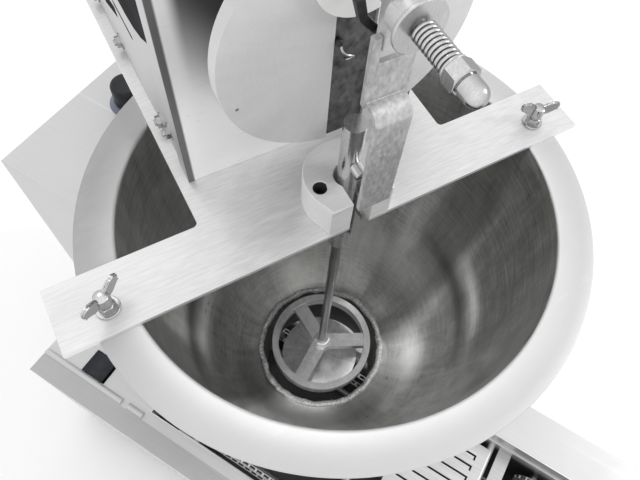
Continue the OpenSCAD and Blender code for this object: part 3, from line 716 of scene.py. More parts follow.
def moulded(name, tint, rough, speckle, bump, coat=0.0, shine=0.5):
    """Moulded plastic, rubber or paint: a faint texture and slightly uneven gloss."""
    material, t, shader = start_material(name)
    place = t.out("ShaderNodeTexCoord", output=3)
    pebble = t.noise(place, speckle, 3.0)
    broad = t.noise(place, 35.0, 5.0, 0.65)
    dust = t.product(t.spread(broad, 0.42, 0.72), 0.35)
    base = t.mix(dust, tint, tuple(min(1.0, c + 0.07) for c in tint))
    shader["Coat Weight"].default_value = coat
    shader["Specular IOR Level"].default_value = shine
    wear = t.spread(broad, to_low=rough - 0.1, to_high=rough + 0.12)
    surface(t, shader, base, wear, pebble, bump, 0.3 * MM)
    return material


# Heading, half width, level, half height and strength of the painted highlights and painted shade in the bowl
BOWL_PAINTED_LIGHT_AND_SHADE = (
    (22, 15, -0.254, 0.016, 1.0), (31, 13, -0.146, 0.009, 0.9), (143, 8, -0.266, 0.016, 1.0),
    (212, 18, -0.208, 0.011, 1.0), (72, 26, -0.217, 0.026, 0.75), (150, 22, -0.12, 0.04, 0.25),
    (215, 26, -0.180, 0.009, -0.8), (38, 24, -0.174, 0.009, -0.8), (300, 65, -0.275, 0.016, -0.95),
)

# How far below the flange's top face the tank's painted shade begins
TANK_SHADE_LINE = FLANGE_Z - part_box("oil_tank")[1].z + 24 * MM

# Painted light and shade, each as the direction in the head's frame, the two distances that the change lies
# between, and the shade it ends in
# Painted shade across the flange
FLANGE_PAINTED_SHADE = [((-0.8, 0.6, 0), 0.05, 0.16, 0.66)]
# Painted shade: the tank and what lies in it darken below that level
TANK_PAINTED_SHADE = [((0, 0, -1), TANK_SHADE_LINE, TANK_SHADE_LINE + 0.018, 0.08)]
# Painted dark reflection towards +X and up, a painted highlight band near the -X edge and a painted dark line
# along that edge
COVER_PAINTED_REFLECTIONS = [((0.8, 0, 0.6), -0.01, 0.037, 0.07), ((-1, 0, 0), 0.062, 0.069, 1.25),
               ((-1, 0, 0), 0.0718, 0.0732, 0.16)]

# Name, shade of the sheet steel, what the lines lie along, roughness, lines, stretch, contrast, bump, film,
# metallic, rim of painted shade at glancing edges and painted fades of light and shade, as in steel()
STEELS = {
    "plate": ("Ground plate", 1.0, "bar", (0.4, 0.55), 700.0, 0.1, 0.12, 0.05, 0.5, 0.6),
    "flange": ("Pressed flange", 0.78, "bar", (0.45, 0.6), 420.0, 0.3, 0.03, 0.02, 0.1, 0.5, 0, FLANGE_PAINTED_SHADE),
    "boss": ("Milled boss", 1.05, "bar", (0.36, 0.5), 1100.0, 0.1, 0.08, 0.06, 0.3, 0.3),
    "block": ("Milled block", 0.8, "bar", (0.3, 0.45), 1100.0, 0.1, 0.12, 0.06, 0.3, 0.6),
    "strap": ("Brushed strap", 0.72, "z", (0.34, 0.5), 500.0, 0.5, 0.3, 0.12, 0.8, 0.65),
    "cabinet": ("Brushed cabinet", 0.78, "x", (0.4, 0.55), 800.0, 0.02, 0.06, 0.03, 0.15, 0.5),
    # A darker copy of the cabinet steel: painted shade on the deck's front strip
    "shade": ("Cabinet edge", 0.6, "x", (0.4, 0.55), 800.0, 0.02, 0.08, 0.03, 0.2, 0.5),
    "rim": ("Tank steel", 0.9, "x", (0.28, 0.45), 700.0, 0.03, 0.14, 0.05, 0.4, 0.7, 0, TANK_PAINTED_SHADE),
    "housing": ("Drive shell", 0.66, "z", (0.34, 0.48), 900.0, 0.05, 0.07, 0.02, 0.3, 0.6),
    "mirror": ("Drive cover", 1.2, "bar", (0.26, 0.36), 1100.0, 0.05, 0.03, 0.003, 0.05, 0.35, 0,
               COVER_PAINTED_REFLECTIONS),
    # Chrome and zinc take painted shade at their glancing edges through rim
    "chrome": ("Bright plating", 0.95, "z", (0.12, 0.24), 1500.0, 0.2, 0.12, 0.02, 0.4, 1.0, 0.95),
    "zinc": ("Zinc plating", 0.9, "z", (0.26, 0.4), 1300.0, 0.3, 0.14, 0.06, 0.5, 0.8, 0.5),
    "rod": ("Ground rod", 0.8, "z", (0.16, 0.28), 1400.0, 0.5, 0.2, 0.03, 0.5, 0.95),
    "stem": ("Dark rod", 0.3, "z", (0.2, 0.36), 1400.0, 0.4, 0.4, 0.04, 0.8, 0.9),
    "weld": ("Weld bead", 1.0, "z", (0.4, 0.6), 500.0, 0.9, 0.6, 0.3, 0.9, 0.35),
    "heater": ("Heater tube", 0.3, "x", (0.3, 0.5), 600.0, 0.2, 0.4, 0.1, 0.9, 0.7),
}

# The same for steels that are a shade of the dark steel
DARK_STEELS = {
    "dark": ("Blackened steel", 1.0, "z", (0.36, 0.55), 900.0, 0.3, 0.5, 0.12, 0.8, 0.6),
    "bar": ("Mottled bar", 2.9, "z", (0.4, 0.6), 260.0, 0.8, 0.7, 0.15, 0.6, 0.5),
}

# Name, shade of the bowl's steel or the sheet steel, the centre of its rings, roughness, contrast, rings,
# bump, blotch, metallic, and then as in spun_steel()
HUB = (*PLUNGER, FLANGE_Z)
CRANK = tuple(JOINTS["crank_turn"]["pos_m"])
BOWL_STEELS = {
    # The inside keeps the bowl steel's dark tint, a painted dark reflection, with painted highlights and
    # painted shade in bands
    "bowl": ("Spun bowl", 1.0, HUB, (0.26, 0.42), 0.5, 420.0, 0.06, 9.0, 0.75, False, 0.8, BOWL_PAINTED_LIGHT_AND_SHADE),
    "outside": ("Outer wall", 1.3, HUB, (0.3, 0.45), 0.16, 420.0, 0.04, 9.0, 0.75),
    "outlet": ("Bored outlet", 0.35, HUB, (0.3, 0.5), 0.4, 300.0, 0.14, 40.0, 0.6),
}
FACED_STEELS = {
    "disc": ("Faced disc", 0.83, CRANK, (0.42, 0.56), 0.06, 900.0, 0.04, 30.0, 0.35, True),
    "cutter": ("Cutter face", 0.8, HUB, (0.35, 0.5), 0.35, 300.0, 0.1, 40.0, 0.5),
    "ring": ("Cast ring", 1.2, HUB, (0.3, 0.48), 0.3, 260.0, 0.14, 60.0, 0.7),
}

# Name, colour, roughness, speckle, bump, coat and shine, as in moulded()
MOULDINGS = {
    "slot": ("Slot shadow", (0.004, 0.004, 0.007), 0.8, 600.0, 0.05, 0.0, 0.1),
    "nylon": ("White nylon", (0.8, 0.8, 0.79), 0.42, 500.0, 0.05),
    "skirt": ("Blue grey moulding", (0.13, 0.15, 0.2), 0.38, 900.0, 0.05, 0.2),
    "mark": ("White marking", (0.75, 0.75, 0.74), 0.5, 700.0, 0.02),
    "rubber": ("Foot rubber", (0.018, 0.018, 0.019), 0.72, 500.0, 0.25),
    "red": ("Red grip", (0.42, 0.02, 0.015), 0.35, 600.0, 0.05, 0.3),
    "paint": ("Motor paint", (0.05, 0.055, 0.065), 0.4, 300.0, 0.2, 0.2),
    "lens": ("Lamp lens", (0.75, 0.16, 0.03), 0.14, 300.0, 0.03, 0.6),
}

FINISHES = {}


def finish(name):
    """The named finish, made the first time that it is asked for."""
    if name not in FINISHES:
        FINISHES[name] = make_finish(name, bpy.context.scene.doughnut_finish)
    return FINISHES[name]


def make_finish(name, look):
    tables = (
        (STEELS, steel, look.sheet_steel), (DARK_STEELS, steel, look.dark_steel),
        (BOWL_STEELS, spun_steel, look.bowl_steel), (FACED_STEELS, spun_steel, look.sheet_steel))
    for table, make, tint in tables:
        if name in table:
            title, shade, *values = table[name]
            return make(title, scaled(tint, shade), *values)
    if name == "knob":
        return moulded("Black moulding", tuple(look.knob_black), 0.34, 1200.0, 0.06, 0.0, 0.25)
    return moulded(*MOULDINGS[name])


# ---- hopper ----


class Hopper(bpy.types.Operator):
    """Bowl with its flange, outlet cylinder, weld bead and clamp ring"""

    bl_idname = "doughnut.hopper"
    bl_label = "Hopper"

    def execute(self, context):
        sizes = context.scene.doughnut_hopper
        depth = -BOWL_LOW - sizes.sheet
        self.bowl(sizes, depth)
        self.outlet(sizes)
        toe = 1.2 * MM  # the bead's middle lies this far outside and above the corner that it fills
        bead = grow(weld_tree(), "outlet_weld", "head", "weld", {
            "Radius": sizes.outlet_r + toe, "Bead": 2.7 * MM, "Wander": 7 * MM, "Seed": 3.0},
            HEAD @ Matrix.Translation((0, 0, toe - depth)), smooth=60)
        dress("outlet_clamp_ring", "zinc", 0.4)
        paint("zinc", "flange_weld_nuts")
        return {"FINISHED"}

    def bowl(self, sizes, depth):
        """The inside curve down to the outlet, the rolled lip, the flange, and the outside curve."""
        lip = 2.2 * MM
        half_t = sizes.sheet / 2
        wall = [(r, z) for r, z in self.curve(sizes, sizes.mouth_r, depth) if z < -lip]
        outer = self.curve(sizes, sizes.mouth_r + sizes.sheet, depth + sizes.sheet)
        section = [
            *wall[::-1], *arc(sizes.mouth_r + lip, -lip, lip, 180, 90, 5), (sizes.mouth_r + 8 * MM, 0),
            (FLANGE_R - 6 * MM, 0), *arc(FLANGE_R - half_t, -half_t, half_t, 90, -90, 6),
            (sizes.mouth_r + sizes.sheet + lip, -sizes.sheet),
            *((r, z) for r, z in outer if z < -sizes.sheet - lip)]
        points = [(r - sizes.mouth_r, -z, 0) for r, z in section]
        edges = [(i, (i + 1) % len(points)) for i in range(len(points))]
        line = bpy.data.meshes.new("bowl_section")
        line.from_pydata(points, edges, [])
        bowl = grow(revolve_tree(), "hopper_bowl_turned", "head", "bowl", {
            "Radius": sizes.mouth_r, "Facets": sizes.turns}, HEAD, line, 50)
        self.check(bowl)
        self.flange_finish(bowl, sizes)
        stand_for(bowl, "hopper_bowl")

    def curve(self, sizes, top_r, depth):
        """A quarter of an ellipse from the mouth, down to the outlet."""
        steps = 40
        wide = top_r - sizes.outlet_r
        turn = [math.pi / 2 * i / steps for i in range(steps + 1)]
        return [(sizes.outlet_r + wide * math.cos(a), -depth * math.sin(a)) for a in turn]

    def check(self, bowl):
        """The turned wall has to reach as low as the solid's own box."""
        low = min(v.co.z for v in bowl.data.vertices)
        if abs(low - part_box("hopper_bowl")[0].z) > 2 * MM:
            raise RuntimeError(f"the bowl came out upside down or short: {low}")

    def flange_finish(self, bowl, sizes):
        """The flange and the rolled lip are lighter, and the outer wall is lighter than the inside and has
        none of the painted highlights and painted shade inside.
        """
        bowl.data.materials.append(finish("flange"))
        bowl.data.materials.append(finish("outside"))
        for face in bowl.data.polygons:
            at = face.center - Vector((*PLUNGER, FLANGE_Z))
            if at.z > -2.4 * MM and at.xy.length > sizes.mouth_r + 0.4 * MM:
                face.material_index = 1
            elif face.normal.xy.dot(at.xy) > 0:
                face.material_index = 2

    def outlet(self, sizes):
        """A straight cylinder with a rolled bead round its foot."""
        bm = bmesh.new()
        top = BOWL_LOW + sizes.sheet
        bore, outer = sizes.outlet_bore_r, sizes.outlet_r
        edge = 0.6 * MM
        bead_r = outer + 2 * MM
        section = [
            (bore, OUTLET_LOW + edge), (bore, top - edge), (bore + edge, top), (outer - edge, top),
            (outer, top - edge), (outer, OUTLET_LOW + 4.5 * MM), (outer + 1.6 * MM, OUTLET_LOW + 4 * MM),
            (bead_r, OUTLET_LOW + 3.4 * MM), (bead_r, OUTLET_LOW + edge), (bead_r - edge, OUTLET_LOW),
            (bore + edge, OUTLET_LOW), (bore, OUTLET_LOW + edge)]
        add_lathe(bm, section, 128)
        bmesh.ops.remove_doubles(bm, verts=bm.verts, dist=SAME_POINT)
        mesh = from_bmesh("outlet", bm)
        tube = new_piece("outlet_cylinder_turned", mesh, "head", finish("outlet"), HEAD, 40)
        stand_for(tube, "outlet_cylinder")


# ---- bridge ----


class Bridge(bpy.types.Operator):
    """Bridge plate, guide boss with its tapped hole, and guide sleeve"""

    bl_idname = "doughnut.bridge"
    bl_label = "Bridge"

    def execute(self, context):
        dress("bridge_plate", "plate", 0.5)
        dress("guide_boss", "boss", 0.7)
        dress("guide_sleeve", "rod", 0.3)
        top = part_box("guide_boss")[1].z - FLANGE_Z
        low = top - 15.6 * MM
        thread = grow(coil_tree(), "boss_thread", "head", "dark", {
            "Coil radius": 3.8 * MM, "Wire radius": 0.42 * MM, "Length": 15 * MM, "Coils": 12.0},
            HEAD @ Matrix.Translation((-18 * MM, -1 * MM, low)), smooth=60)
        return {"FINISHED"}


# ---- wing bolts ----


class WingBolts(bpy.types.Operator):
    """The two wing bolts that hold the hopper under the bridge"""

    bl_idname = "doughnut.wing_bolts"
    bl_label = "Wing bolts"

    def execute(self, context):
        in_front = -4 * MM
        for side, name, turn in ((-1, "left", 35), (1, "right", -20)):
            place = HEAD @ Matrix.Translation((side * WING_X, in_front, PLATE_T))
            place = place @ Matrix.Rotation(math.radians(turn), 4, "Z")
            bm = bmesh.new()
            self.hub(bm)
            self.wings(bm, context.scene.doughnut_fasteners.wing_span / 2 / MM)
            bolt = new_piece(f"wing_bolt_{name}_wing", from_bmesh("wing_bolt", bm), f"{name}_wing",
                             finish("chrome"), place, 40)
            stand_for(bolt, f"wing_bolt_{name}")
        return {"FINISHED"}

    def hub(self, bm):
        """Washer, hexagon, tapered hub and threaded shank."""
        add_lathe(bm, mm((0, 1.4), (6.2, 1.4), (6.5, 1.1), (6.5, 0.4), (6.2, 0.1), (0, 0.1)))
        add_hex(bm, 8 * MM, 1.4 * MM, 6 * MM)
        add_lathe(bm, mm((0, 15.8), (3, 15.8), (3.8, 15.2), (4.2, 10), (4.2, 7.2), (3.8, 6.4), (3, 5.8),
                         (0, 5.8)), 40)
        pitch = 0.9
        turns = [-10.2 + i * pitch for i in range(15)]
        thread = [point for z in turns for point in ((2.6, z), (2.95, z + pitch / 2))]
        add_lathe(bm, mm((0, -10.4), *thread, (2.6, 3.2), (0, 3.3)), 28)

    def wings(self, bm, reach):
        """Two flat ears that lean outwards, up to a reach in millimetres."""
        upright = Matrix.Rotation(math.radians(90), 4, "X")
        ear = [(1.0, 8.2), (7.2, 9.6), (reach - 1.6, 13.1), *arc(reach - 3.6, 16.6, 3.5, -48, 128, 16),
               (4.6, 17.0), (1.0, 15.0)]
        for outline in ([(-x, y) for x, y in ear][::-1], ear):
            add_prism(bm, mm(*outline), -1.15 * MM, 1.15 * MM, upright, 0.7 * MM, 3)


# ---- crank ----


class Crank(bpy.types.Operator):
    """Crank disc, stroke slide, pin, spacer, washer, spring and nuts"""

    bl_idname = "doughnut.crank"
    bl_label = "Crank"

    def execute(self, context):
        sizes = context.scene.doughnut_fasteners
        dress("crank_disc", "disc", 0.7)
        dress("stroke_slide", "bar", 0.4)
        dress("nylon_spacer", "nylon", 0.4)
        dress("crank_pin", "rod", 0.3)
        dress("thrust_washer", "zinc", 0.35)
        dress("spring_washer", "zinc", 0.3)
        paint("rod", "crank_shaft")
        self.spring(sizes)
        self.acorn(sizes)
        self.retainer()
        return {"FINISHED"}

    def spring(self, sizes):
        """One wound wire between the big washer and the spring washer."""
        front, back = -48.4 * MM, -28.9 * MM
        wire_r = sizes.wire_r
        spring = grow(coil_tree(), "crank_spring", "stroke", "chrome", {
            "Coil radius": sizes.coil_r, "Wire radius": wire_r, "Length": back - front - 2 * wire_r,
            "Coils": float(sizes.coils)}, HEAD @ along_y(0, front + wire_r, PIN_Z), smooth=60)
        stand_for(spring, "retaining_spring")

    def acorn(self, sizes):
        """Hexagon with a turned collar and a dome, the dome's tip at its origin."""
        bm = bmesh.new()
        add_hex(bm, sizes.nut_flats, 10.1 * MM, 17.1 * MM, 3.25 * MM)
        dome = sizes.dome_r
        collar = dome - 0.25 * MM
        turn = [math.radians(90 * i / 14) for i in range(1, 15)]
        add_lathe(bm, [
            (0, 0), *((dome * math.sin(a), dome * (1 - math.cos(a))) for a in turn),
            (dome, 9.3 * MM), (collar, 9.7 * MM), (collar, 10.4 * MM), (0, 10.7 * MM)], 64)
        tip = -66.7 * MM
        acorn = new_piece("crank_acorn_nut", from_bmesh("acorn_nut", bm), "stroke", finish("chrome"),
                          HEAD @ along_y(0, tip, PIN_Z), 25)
        stand_for(acorn, "acorn_nut")

    def retainer(self):
        """Ball-headed screw and bent retaining wire on the stroke slide's face."""
        bm = bmesh.new()
        ball_r = 2.1 * MM
        turn = [math.radians(a) for a in range(15, 180, 15)]
        ball = [(ball_r * math.sin(a), -ball_r * math.cos(a)) for a in turn]
        add_lathe(bm, [(0, -ball_r), *ball, (0, ball_r)], 24)
        head = new_piece("slide_screw", from_bmesh("slide_screw", bm), "stroke", finish("dark"),
                         HEAD @ along_y(-8.0 * MM, 9.9 * MM, 121 * MM), 40)
        self.wire("slide_wire", 0.62 * MM, [
            (-7.2, 9.6, 119.4), (-6.8, 8.4, 116.6), (-5, 7.6, 114.4), (-2.6, 7.4, 113.4),
            (-1.2, 7.8, 112.2), (-1.6, 8.8, 110.4), (-3, 10.2, 108.9), (-3.4, 11.7, 108.4)])

    def wire(self, name, radius, path):
        """A round wire through points given in millimetres."""
        curve = bpy.data.curves.new(name, "CURVE")
        curve.dimensions = "3D"
        curve.bevel_depth = radius
        curve.bevel_resolution = 4
        curve.use_fill_caps = True
        line = curve.splines.new("BEZIER")
        line.bezier_points.add(len(path) - 1)
        for point, at in zip(line.bezier_points, mm(*path)):
            point.co = at
            point.handle_left_type = point.handle_right_type = "AUTO"
        line.resolution_u = 6
        holder = new_object(name + "_path", curve)
        mesh = baked(holder)
        bpy.data.objects.remove(holder)
        mesh.name = name
        mesh.materials.clear()
        wire = new_piece(name, mesh, "stroke", finish("chrome"), HEAD, 50)


class Fork(bpy.types.Operator):
    """Strap and fork of the connecting rod, its bearing block and keeper"""

    bl_idname = "doughnut.fork"
    bl_label = "Connecting fork"

    def execute(self, context):
        dress("connecting_fork", "strap", 0.4)
        dress("fork_block", "block", 0.5)
        dress("keeper_lever", "dark", 0.3)
        return {"FINISHED"}


class Plunger(bpy.types.Operator):
    """Guide rod, link bolt, plunger rod, spider ring, nut and cutter disc"""

    bl_idname = "doughnut.plunger"
    bl_label = "Plunger"

    def execute(self, context):
        dress("guide_rod", "rod", 0.4)
        dress("pivot_bolt", "rod", 0.3)
        dress("plunger_rod", "stem", 0.3)
        dress("spider_ring", "ring", 0.6)
        dress("cutter_disc", "cutter", 0.5)
        bm = bmesh.new()
        add_hex(bm, 13 * MM, 0, 7 * MM, 3.5 * MM)
        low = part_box("hub_nut")[0].z - FLANGE_Z
        nut = new_piece("spider_nut", from_bmesh("hub_nut", bm), "plunger", finish("ring"),
                        HEAD @ Matrix.Translation((0, 0, low)), 25)
        stand_for(nut, "hub_nut")
        return {"FINISHED"}


# ---- housing ----


class Housing(bpy.types.Operator):
    """Drive housing, its bolts, and the drive inside it"""

    bl_idname = "doughnut.housing"
    bl_label = "Drive housing"

    def execute(self, context):
        self.cover()
        dress("housing_shell", "housing", 0.5)
        paint("paint", "gearbox", "gear_motor")
        paint("zinc", "motor_stand")
        paint("dark", "shaft_bearing")
        half = max((HEAD.inverted() @ v.co).x for v in frame["nodes"]["housing_shell"].data.vertices)
        self.bolts(half)
        self.side_openings(half)
        return {"FINISHED"}

    def cover(self):
        """The front cover, whose edges have the shell's finish."""
        cover = dress("housing_front_cover", "mirror", 0.5)
        cover.data.materials.append(finish("housing"))
        sideways = HEAD.to_3x3() @ Vector((1, 0, 0))
        nearly_along = 0.8
        for face in cover.data.polygons:
            if abs(face.normal.dot(sideways)) > nearly_along:
                face.material_index = 1

    def side_openings(self, half):
        """Arched window and slots in the left wall, as dark insets of painted shadow that stand a hair proud
        of it.
        """
        outlines = [
            [(64, 98), (71, 92), (84, 84), (98, 78.5), (112, 76), (132, 75.5), (132, 128), (64, 128)],
            [(144, 47), (176, 33), (178, 36), (178, 42), (146, 53)],
            [(113, 57), (144, 57), (146, 58.2), (144, 59.4), (113, 59.4), (112, 58.2)],
        ]
        leftwards = Matrix(((0, 0, -1, 0), (1, 0, 0, 0), (0, 1, 0, 0), (0, 0, 0, 1)))
        wall = HEAD @ Matrix.Translation((-half, 0, 0)) @ leftwards
        bm = bmesh.new()
        for outline in outlines:
            add_prism(bm, mm(*outline), -0.3 * MM, 0.12 * MM, wall)
        panes = new_piece("housing_side_openings", from_bmesh("openings", bm), "head", finish("slot"))

    def bolts(self, half):
        """One tiny face at each bolt says where it stands and which way it points."""
        tiny = 1e-5
        corners = [Vector(p) for p in ((tiny, 0, 0), (0, tiny, 0), (-tiny, -tiny, 0))]
        bm = bmesh.new()
        for side in (-1, 1):
            for y, z in mm((164, 11), (92, 11), (74, 22), (212, 11)):
                place = HEAD @ along_x(side * half, y, z)
                if side < 0:
                    place = place @ Matrix.Rotation(math.pi, 4, "X")
                bm.faces.new([bm.verts.new(place @ corner) for corner in corners])
        seats = bpy.data.meshes.new("bolt_seats")
        bm.to_mesh(seats)
        bm.free()
        bolts = grow(bolt_tree(), "housing_bolt_heads", "head", "chrome", {
            "Flats": 7 * MM, "Height": 2.6 * MM, "Washer": 5.4 * MM}, None, seats)
        stand_for(bolts, "housing_bolts")


class Swivel(bpy.types.Operator):
    """Swivel hub, post and clamp handle"""

    bl_idname = "doughnut.swivel"
    bl_label = "Swivel"

    def execute(self, context):
        dress("swivel_hub", "rod", 0.6)
        dress("swivel_post", "rod", 0.6)
        dress("clamp_handle", "dark", 0.4)
        return {"FINISHED"}


# ---- fryer ----


class Fryer(bpy.types.Operator):
    """Cabinet, oil tank, heater, feet, chute, column and drain"""

    bl_idname = "doughnut.fryer"
    bl_label = "Fryer"

    def execute(self, context):
        self.cabinet()
        dress("oil_tank", "rim", 0.4)
        dress("column_shell", "cabinet", 1.0)
        dress("column_back_panel", "housing", 0.5)
        dress("discharge_chute", "rim", 0.5)
        paint("heater", "heater_element")
        paint("paint", "conveyor_motor")
        dress("feet", "rubber", 1.5)
        dress("drain_pipe", "zinc", 0.6)
        dress("drain_lever", "red", 0.8)
        dress("cord_gland", "knob", 0.6)
        dress("indicator_lamps", "lens", 1.0)
        self.louvres()
        return {"FINISHED"}

    def cabinet(self):
        """The deck's front strip, outside the rail, is darker than the rest: painted shade."""
        body = dress("cabinet", "cabinet", 0.8)
        body.data.materials.append(finish("shade"))
        low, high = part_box("cabinet")
        strip = low.y + 20.5 * MM
        deck = high.z - 6 * MM
        bm = bmesh.new()
        bm.from_mesh(body.data)
        bmesh.ops.bisect_plane(bm, geom=bm.verts[:] + bm.edges[:] + bm.faces[:], dist=SAME_POINT,
                               plane_co=(0, strip, 0), plane_no=(0, 1, 0))
        # Painted shade on the top faces of the deck's front strip
        for face in bm.faces:
            at = face.calc_center_median()
            if at.y < strip and at.z > deck:
                face.material_index = 1
        bm.to_mesh(body.data)
        bm.free()

    def louvres(self):
        """Pressed cooling louvres in the column's back panel."""
        low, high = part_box("column_back_panel")
        half, pitch, lowest = 34 * MM, 11 * MM, 300 * MM
        upright = Matrix(((0, 0, 1, 0), (0, 1, 0, 0), (-1, 0, 0, 0), (0, 0, 0, 1)))
        bm = bmesh.new()
        add_prism(bm, mm((0, 0), (0, 4), (-1.2, 4), (-3.2, 2), (-3.8, 0)), -half, half, upright, 0.3 * MM)
        middle = (low.x + high.x) / 2 + 10 * MM
        place = Matrix.Translation((middle, high.y - 0.2 * MM, lowest))
        row = grow(row_tree(), "column_louvres", "fryer", "housing", {"Count": 9, "Step": (0.0, 0.0, pitch)},
                   place, from_bmesh("louvre", bm))


class Conveyor(bpy.types.Operator):
    """Rails, chains, flights, sprocket shafts and the turner"""

    bl_idname = "doughnut.conveyor"
    bl_label = "Conveyor"

    def execute(self, context):
        dress("conveyor_rails", "rim", 0.3)
        paint("rim", "conveyor_flights", "turner")
        paint("zinc", "intake_shaft", "transfer_shaft", "return_shaft", "exit_shaft")
        self.chains()
        return {"FINISHED"}

    def chains(self):
        """A chain on each side of both conveyors. They replace the solid of all four, which is hidden."""
        low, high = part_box("conveyor_chains")
        width = 5 * MM
        wheel = (high.z - low.z) / 2 - 1 * MM
        tree = chain_tree()
        for first, last in (("intake", "transfer"), ("return", "exit")):
            x0, x1 = joint_at(first + "_turn").x, joint_at(last + "_turn").x
            for side, y in (("front", low.y + width / 2), ("back", high.y - width / 2)):
                grow(tree, f"chain_{first}_{side}", "fryer", "zinc", {
                    "Span": x1 - x0, "Wheel": wheel, "Pitch": 9 * MM, "Width": width * 0.96},
                    Matrix.Translation(((x0 + x1) / 2, y, (low.z + high.z) / 2)))
        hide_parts("conveyor_chains")


class Controls(bpy.types.Operator):
    """Knobs with their pointers, and the rocker switch"""

    bl_idname = "doughnut.controls"
    bl_label = "Controls"

    def execute(self, context):
        dress("rocker_switch", "knob", 0.5)
        speed = joint_at("speed_turn")
        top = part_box("column_shell")[1].z
        self.knob("speed_knob", "speed", Matrix.Translation((speed.x, speed.y, top)), 12.5, 17, 23)
        heat = joint_at("temperature_turn")
        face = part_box("cabinet")[0].y
        upright = Matrix.Translation((heat.x, face, heat.z)) @ Matrix.Rotation(math.pi / 2, 4, "X")
        self.knob("temperature_knob", "temperature", upright, 15, 19, 21.7)
        return {"FINISHED"}

    def knob(self, node, body, place, grip, skirt, height):
        """A finely ribbed cap over a stepped skirt, with a pointer line. Sizes are in millimetres."""
        ribs = 24

        def ribbed(a, r, z):
            if r < grip * 0.8 * MM or z > (height - 2.4) * MM:
                return r
            return r - 0.25 * MM * (0.5 + 0.5 * math.cos(ribs * a)) ** 2

        def part(name, look, smooth):
            return new_piece(f"{node}_{name}", from_bmesh(node, bm), body, finish(look), place, smooth)

        bm = bmesh.new()
        add_lathe(bm, mm(
            (0, 4), (grip - 0.4, 4), (grip, 4.6), (grip - 0.2, height - 2.2), (grip - 0.7, height - 0.9),
            (grip - 1.6, height - 0.2), (grip - 2.6, height), (grip - 3.6, height - 0.25),
            (0, height - 0.35)), ribs * 8, ribbed)
        stand_for(part("cap", "knob", 50), node)
        bm = bmesh.new()
        add_lathe(bm, mm((0, 0.3), (skirt - 0.4, 0.3), (skirt, 0.7), (skirt - 0.3, 1.8), (skirt - 2.4, 3.0),
                         (grip + 1.2, 4.0), (0, 4.2)), 96)
        part("skirt", "skirt", 40)
        bm = bmesh.new()
        near, far = grip * 0.35, grip - 2.8
        line = mm((-0.5, near), (0.5, near), (0.5, far), (-0.5, far))
        add_prism(bm, line, (height - 0.6) * MM, (height - 0.15) * MM, bevel=0.1 * MM)
        part("pointer", "mark", 40)


# ---- stage ----


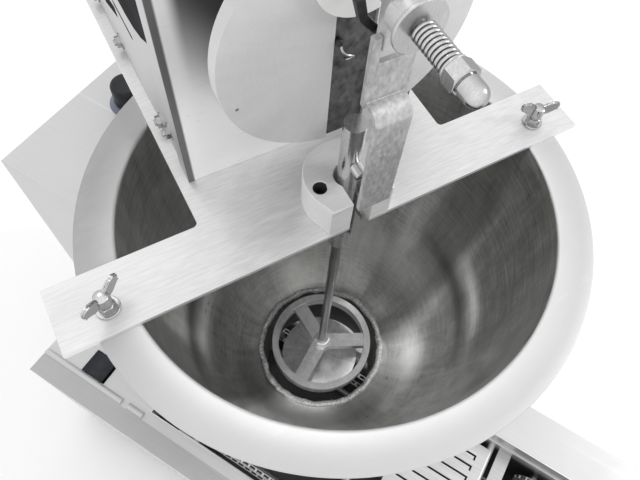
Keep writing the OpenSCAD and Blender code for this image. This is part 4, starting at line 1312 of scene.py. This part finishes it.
class Stage(bpy.types.Operator):
    """Floor, daylight, lamps and camera"""

    bl_idname = "doughnut.stage"
    bl_label = "Stage"

    def execute(self, context):
        sizes = context.scene.doughnut_stage
        self.floor(sizes)
        self.daylight(context, sizes)
        column = (-0.26, 0, 0.4)
        self.lamp("key", (0.86, 0.68, 1.5), column, power=6)
        self.lamp("fill", (-1.2, 0.25, 1.75), column, power=1.2)
        self.well_lamp()
        self.camera(context, sizes)
        context.scene.view_settings.view_transform = "Standard"
        return {"FINISHED"}

    def floor(self, sizes):
        reach = 6.0
        corners = [(-reach, -reach, 0), (reach, -reach, 0), (reach, reach, 0), (-reach, reach, 0)]
        mesh = bpy.data.meshes.new("floor")
        mesh.from_pydata(corners, [], [(0, 1, 2, 3)])
        material, _, shader = start_material("Pale floor")
        shader["Base Color"].default_value = (sizes.floor_grey,) * 3 + (1,)
        shader["Roughness"].default_value = 0.9
        mesh.materials.append(material)
        new_object("floor", mesh)

    def daylight(self, context, sizes):
        world = bpy.data.worlds.new("Studio")
        context.scene.world = world
        world.use_nodes = True
        sky = world.node_tree.nodes["Background"].inputs
        sky["Color"].default_value = (1, 1, 1, 1)
        sky["Strength"].default_value = sizes.daylight

    def lamp(self, name, place, target, power):
        """A square soft box that faces a target."""
        light = bpy.data.lights.new(name, "AREA")
        light.size = 0.4
        light.energy = power
        lamp = new_object(name, light)
        lamp.location = place
        lamp.rotation_euler = (Vector(target) - Vector(place)).to_track_quat("-Z", "Y").to_euler()

    def well_lamp(self):
        """A narrow lamp over the hopper, which lights only the bowl and the cutter disc at its bottom."""
        height = 1.3
        pool_r = 122 * MM
        light = bpy.data.lights.new("well", "SPOT")
        light.energy = 42
        light.shadow_soft_size = 30 * MM
        light.spot_size = 2 * math.atan(pool_r / (height - FLANGE_Z))
        light.spot_blend = 0.25
        lamp = new_object("well", light)
        lamp.location = (*PLUNGER, height)
        lit = bpy.data.collections.new("Inside the hopper")
        for name in ("hopper_bowl_turned", "cutter_disc_dressed"):
            lit.objects.link(bpy.data.objects[name])
        lamp.light_linking.receiver_collection = lit

    def camera(self, context, sizes):
        camera = new_object("camera", bpy.data.cameras.new("camera"))
        camera.location = sizes.eye
        camera.rotation_euler = sizes.turn
        camera.data.lens = sizes.lens
        camera.data.shift_x = -0.0564
        camera.data.shift_y = -0.0426
        camera.data.clip_start = 10 * MM
        context.scene.camera = camera


OPERATORS = (
    Hopper, Bridge, WingBolts, Crank, Fork, Plunger, Housing, Swivel, Fryer, Conveyor, Controls, Stage)


class MakerPanel(bpy.types.Panel):
    """Lists the steps that dress the doughnut maker"""

    bl_idname = "DOUGHNUT_PT_maker"
    bl_label = "Doughnut Maker"
    bl_space_type = "VIEW_3D"
    bl_region_type = "UI"
    bl_category = "Doughnut Maker"

    def draw(self, context):
        for step in OPERATORS:
            self.layout.operator(step.bl_idname)
        for name, group in SETTINGS.items():
            box = self.layout.box()
            for key in group.__annotations__:
                box.prop(getattr(context.scene, name), key)


CLASSES = (*SETTINGS.values(), *OPERATORS, MakerPanel)


def register():
    for cls in CLASSES:
        bpy.utils.register_class(cls)
    for name, group in SETTINGS.items():
        setattr(bpy.types.Scene, name, PointerProperty(type=group))


def unregister():
    for name in SETTINGS:
        delattr(bpy.types.Scene, name)
    for cls in reversed(CLASSES):
        bpy.utils.unregister_class(cls)


def main():
    register()
    for step in OPERATORS:
        group, name = step.bl_idname.split(".")
        getattr(getattr(bpy.ops, group), name)()


if __name__ == "__main__":
    main()
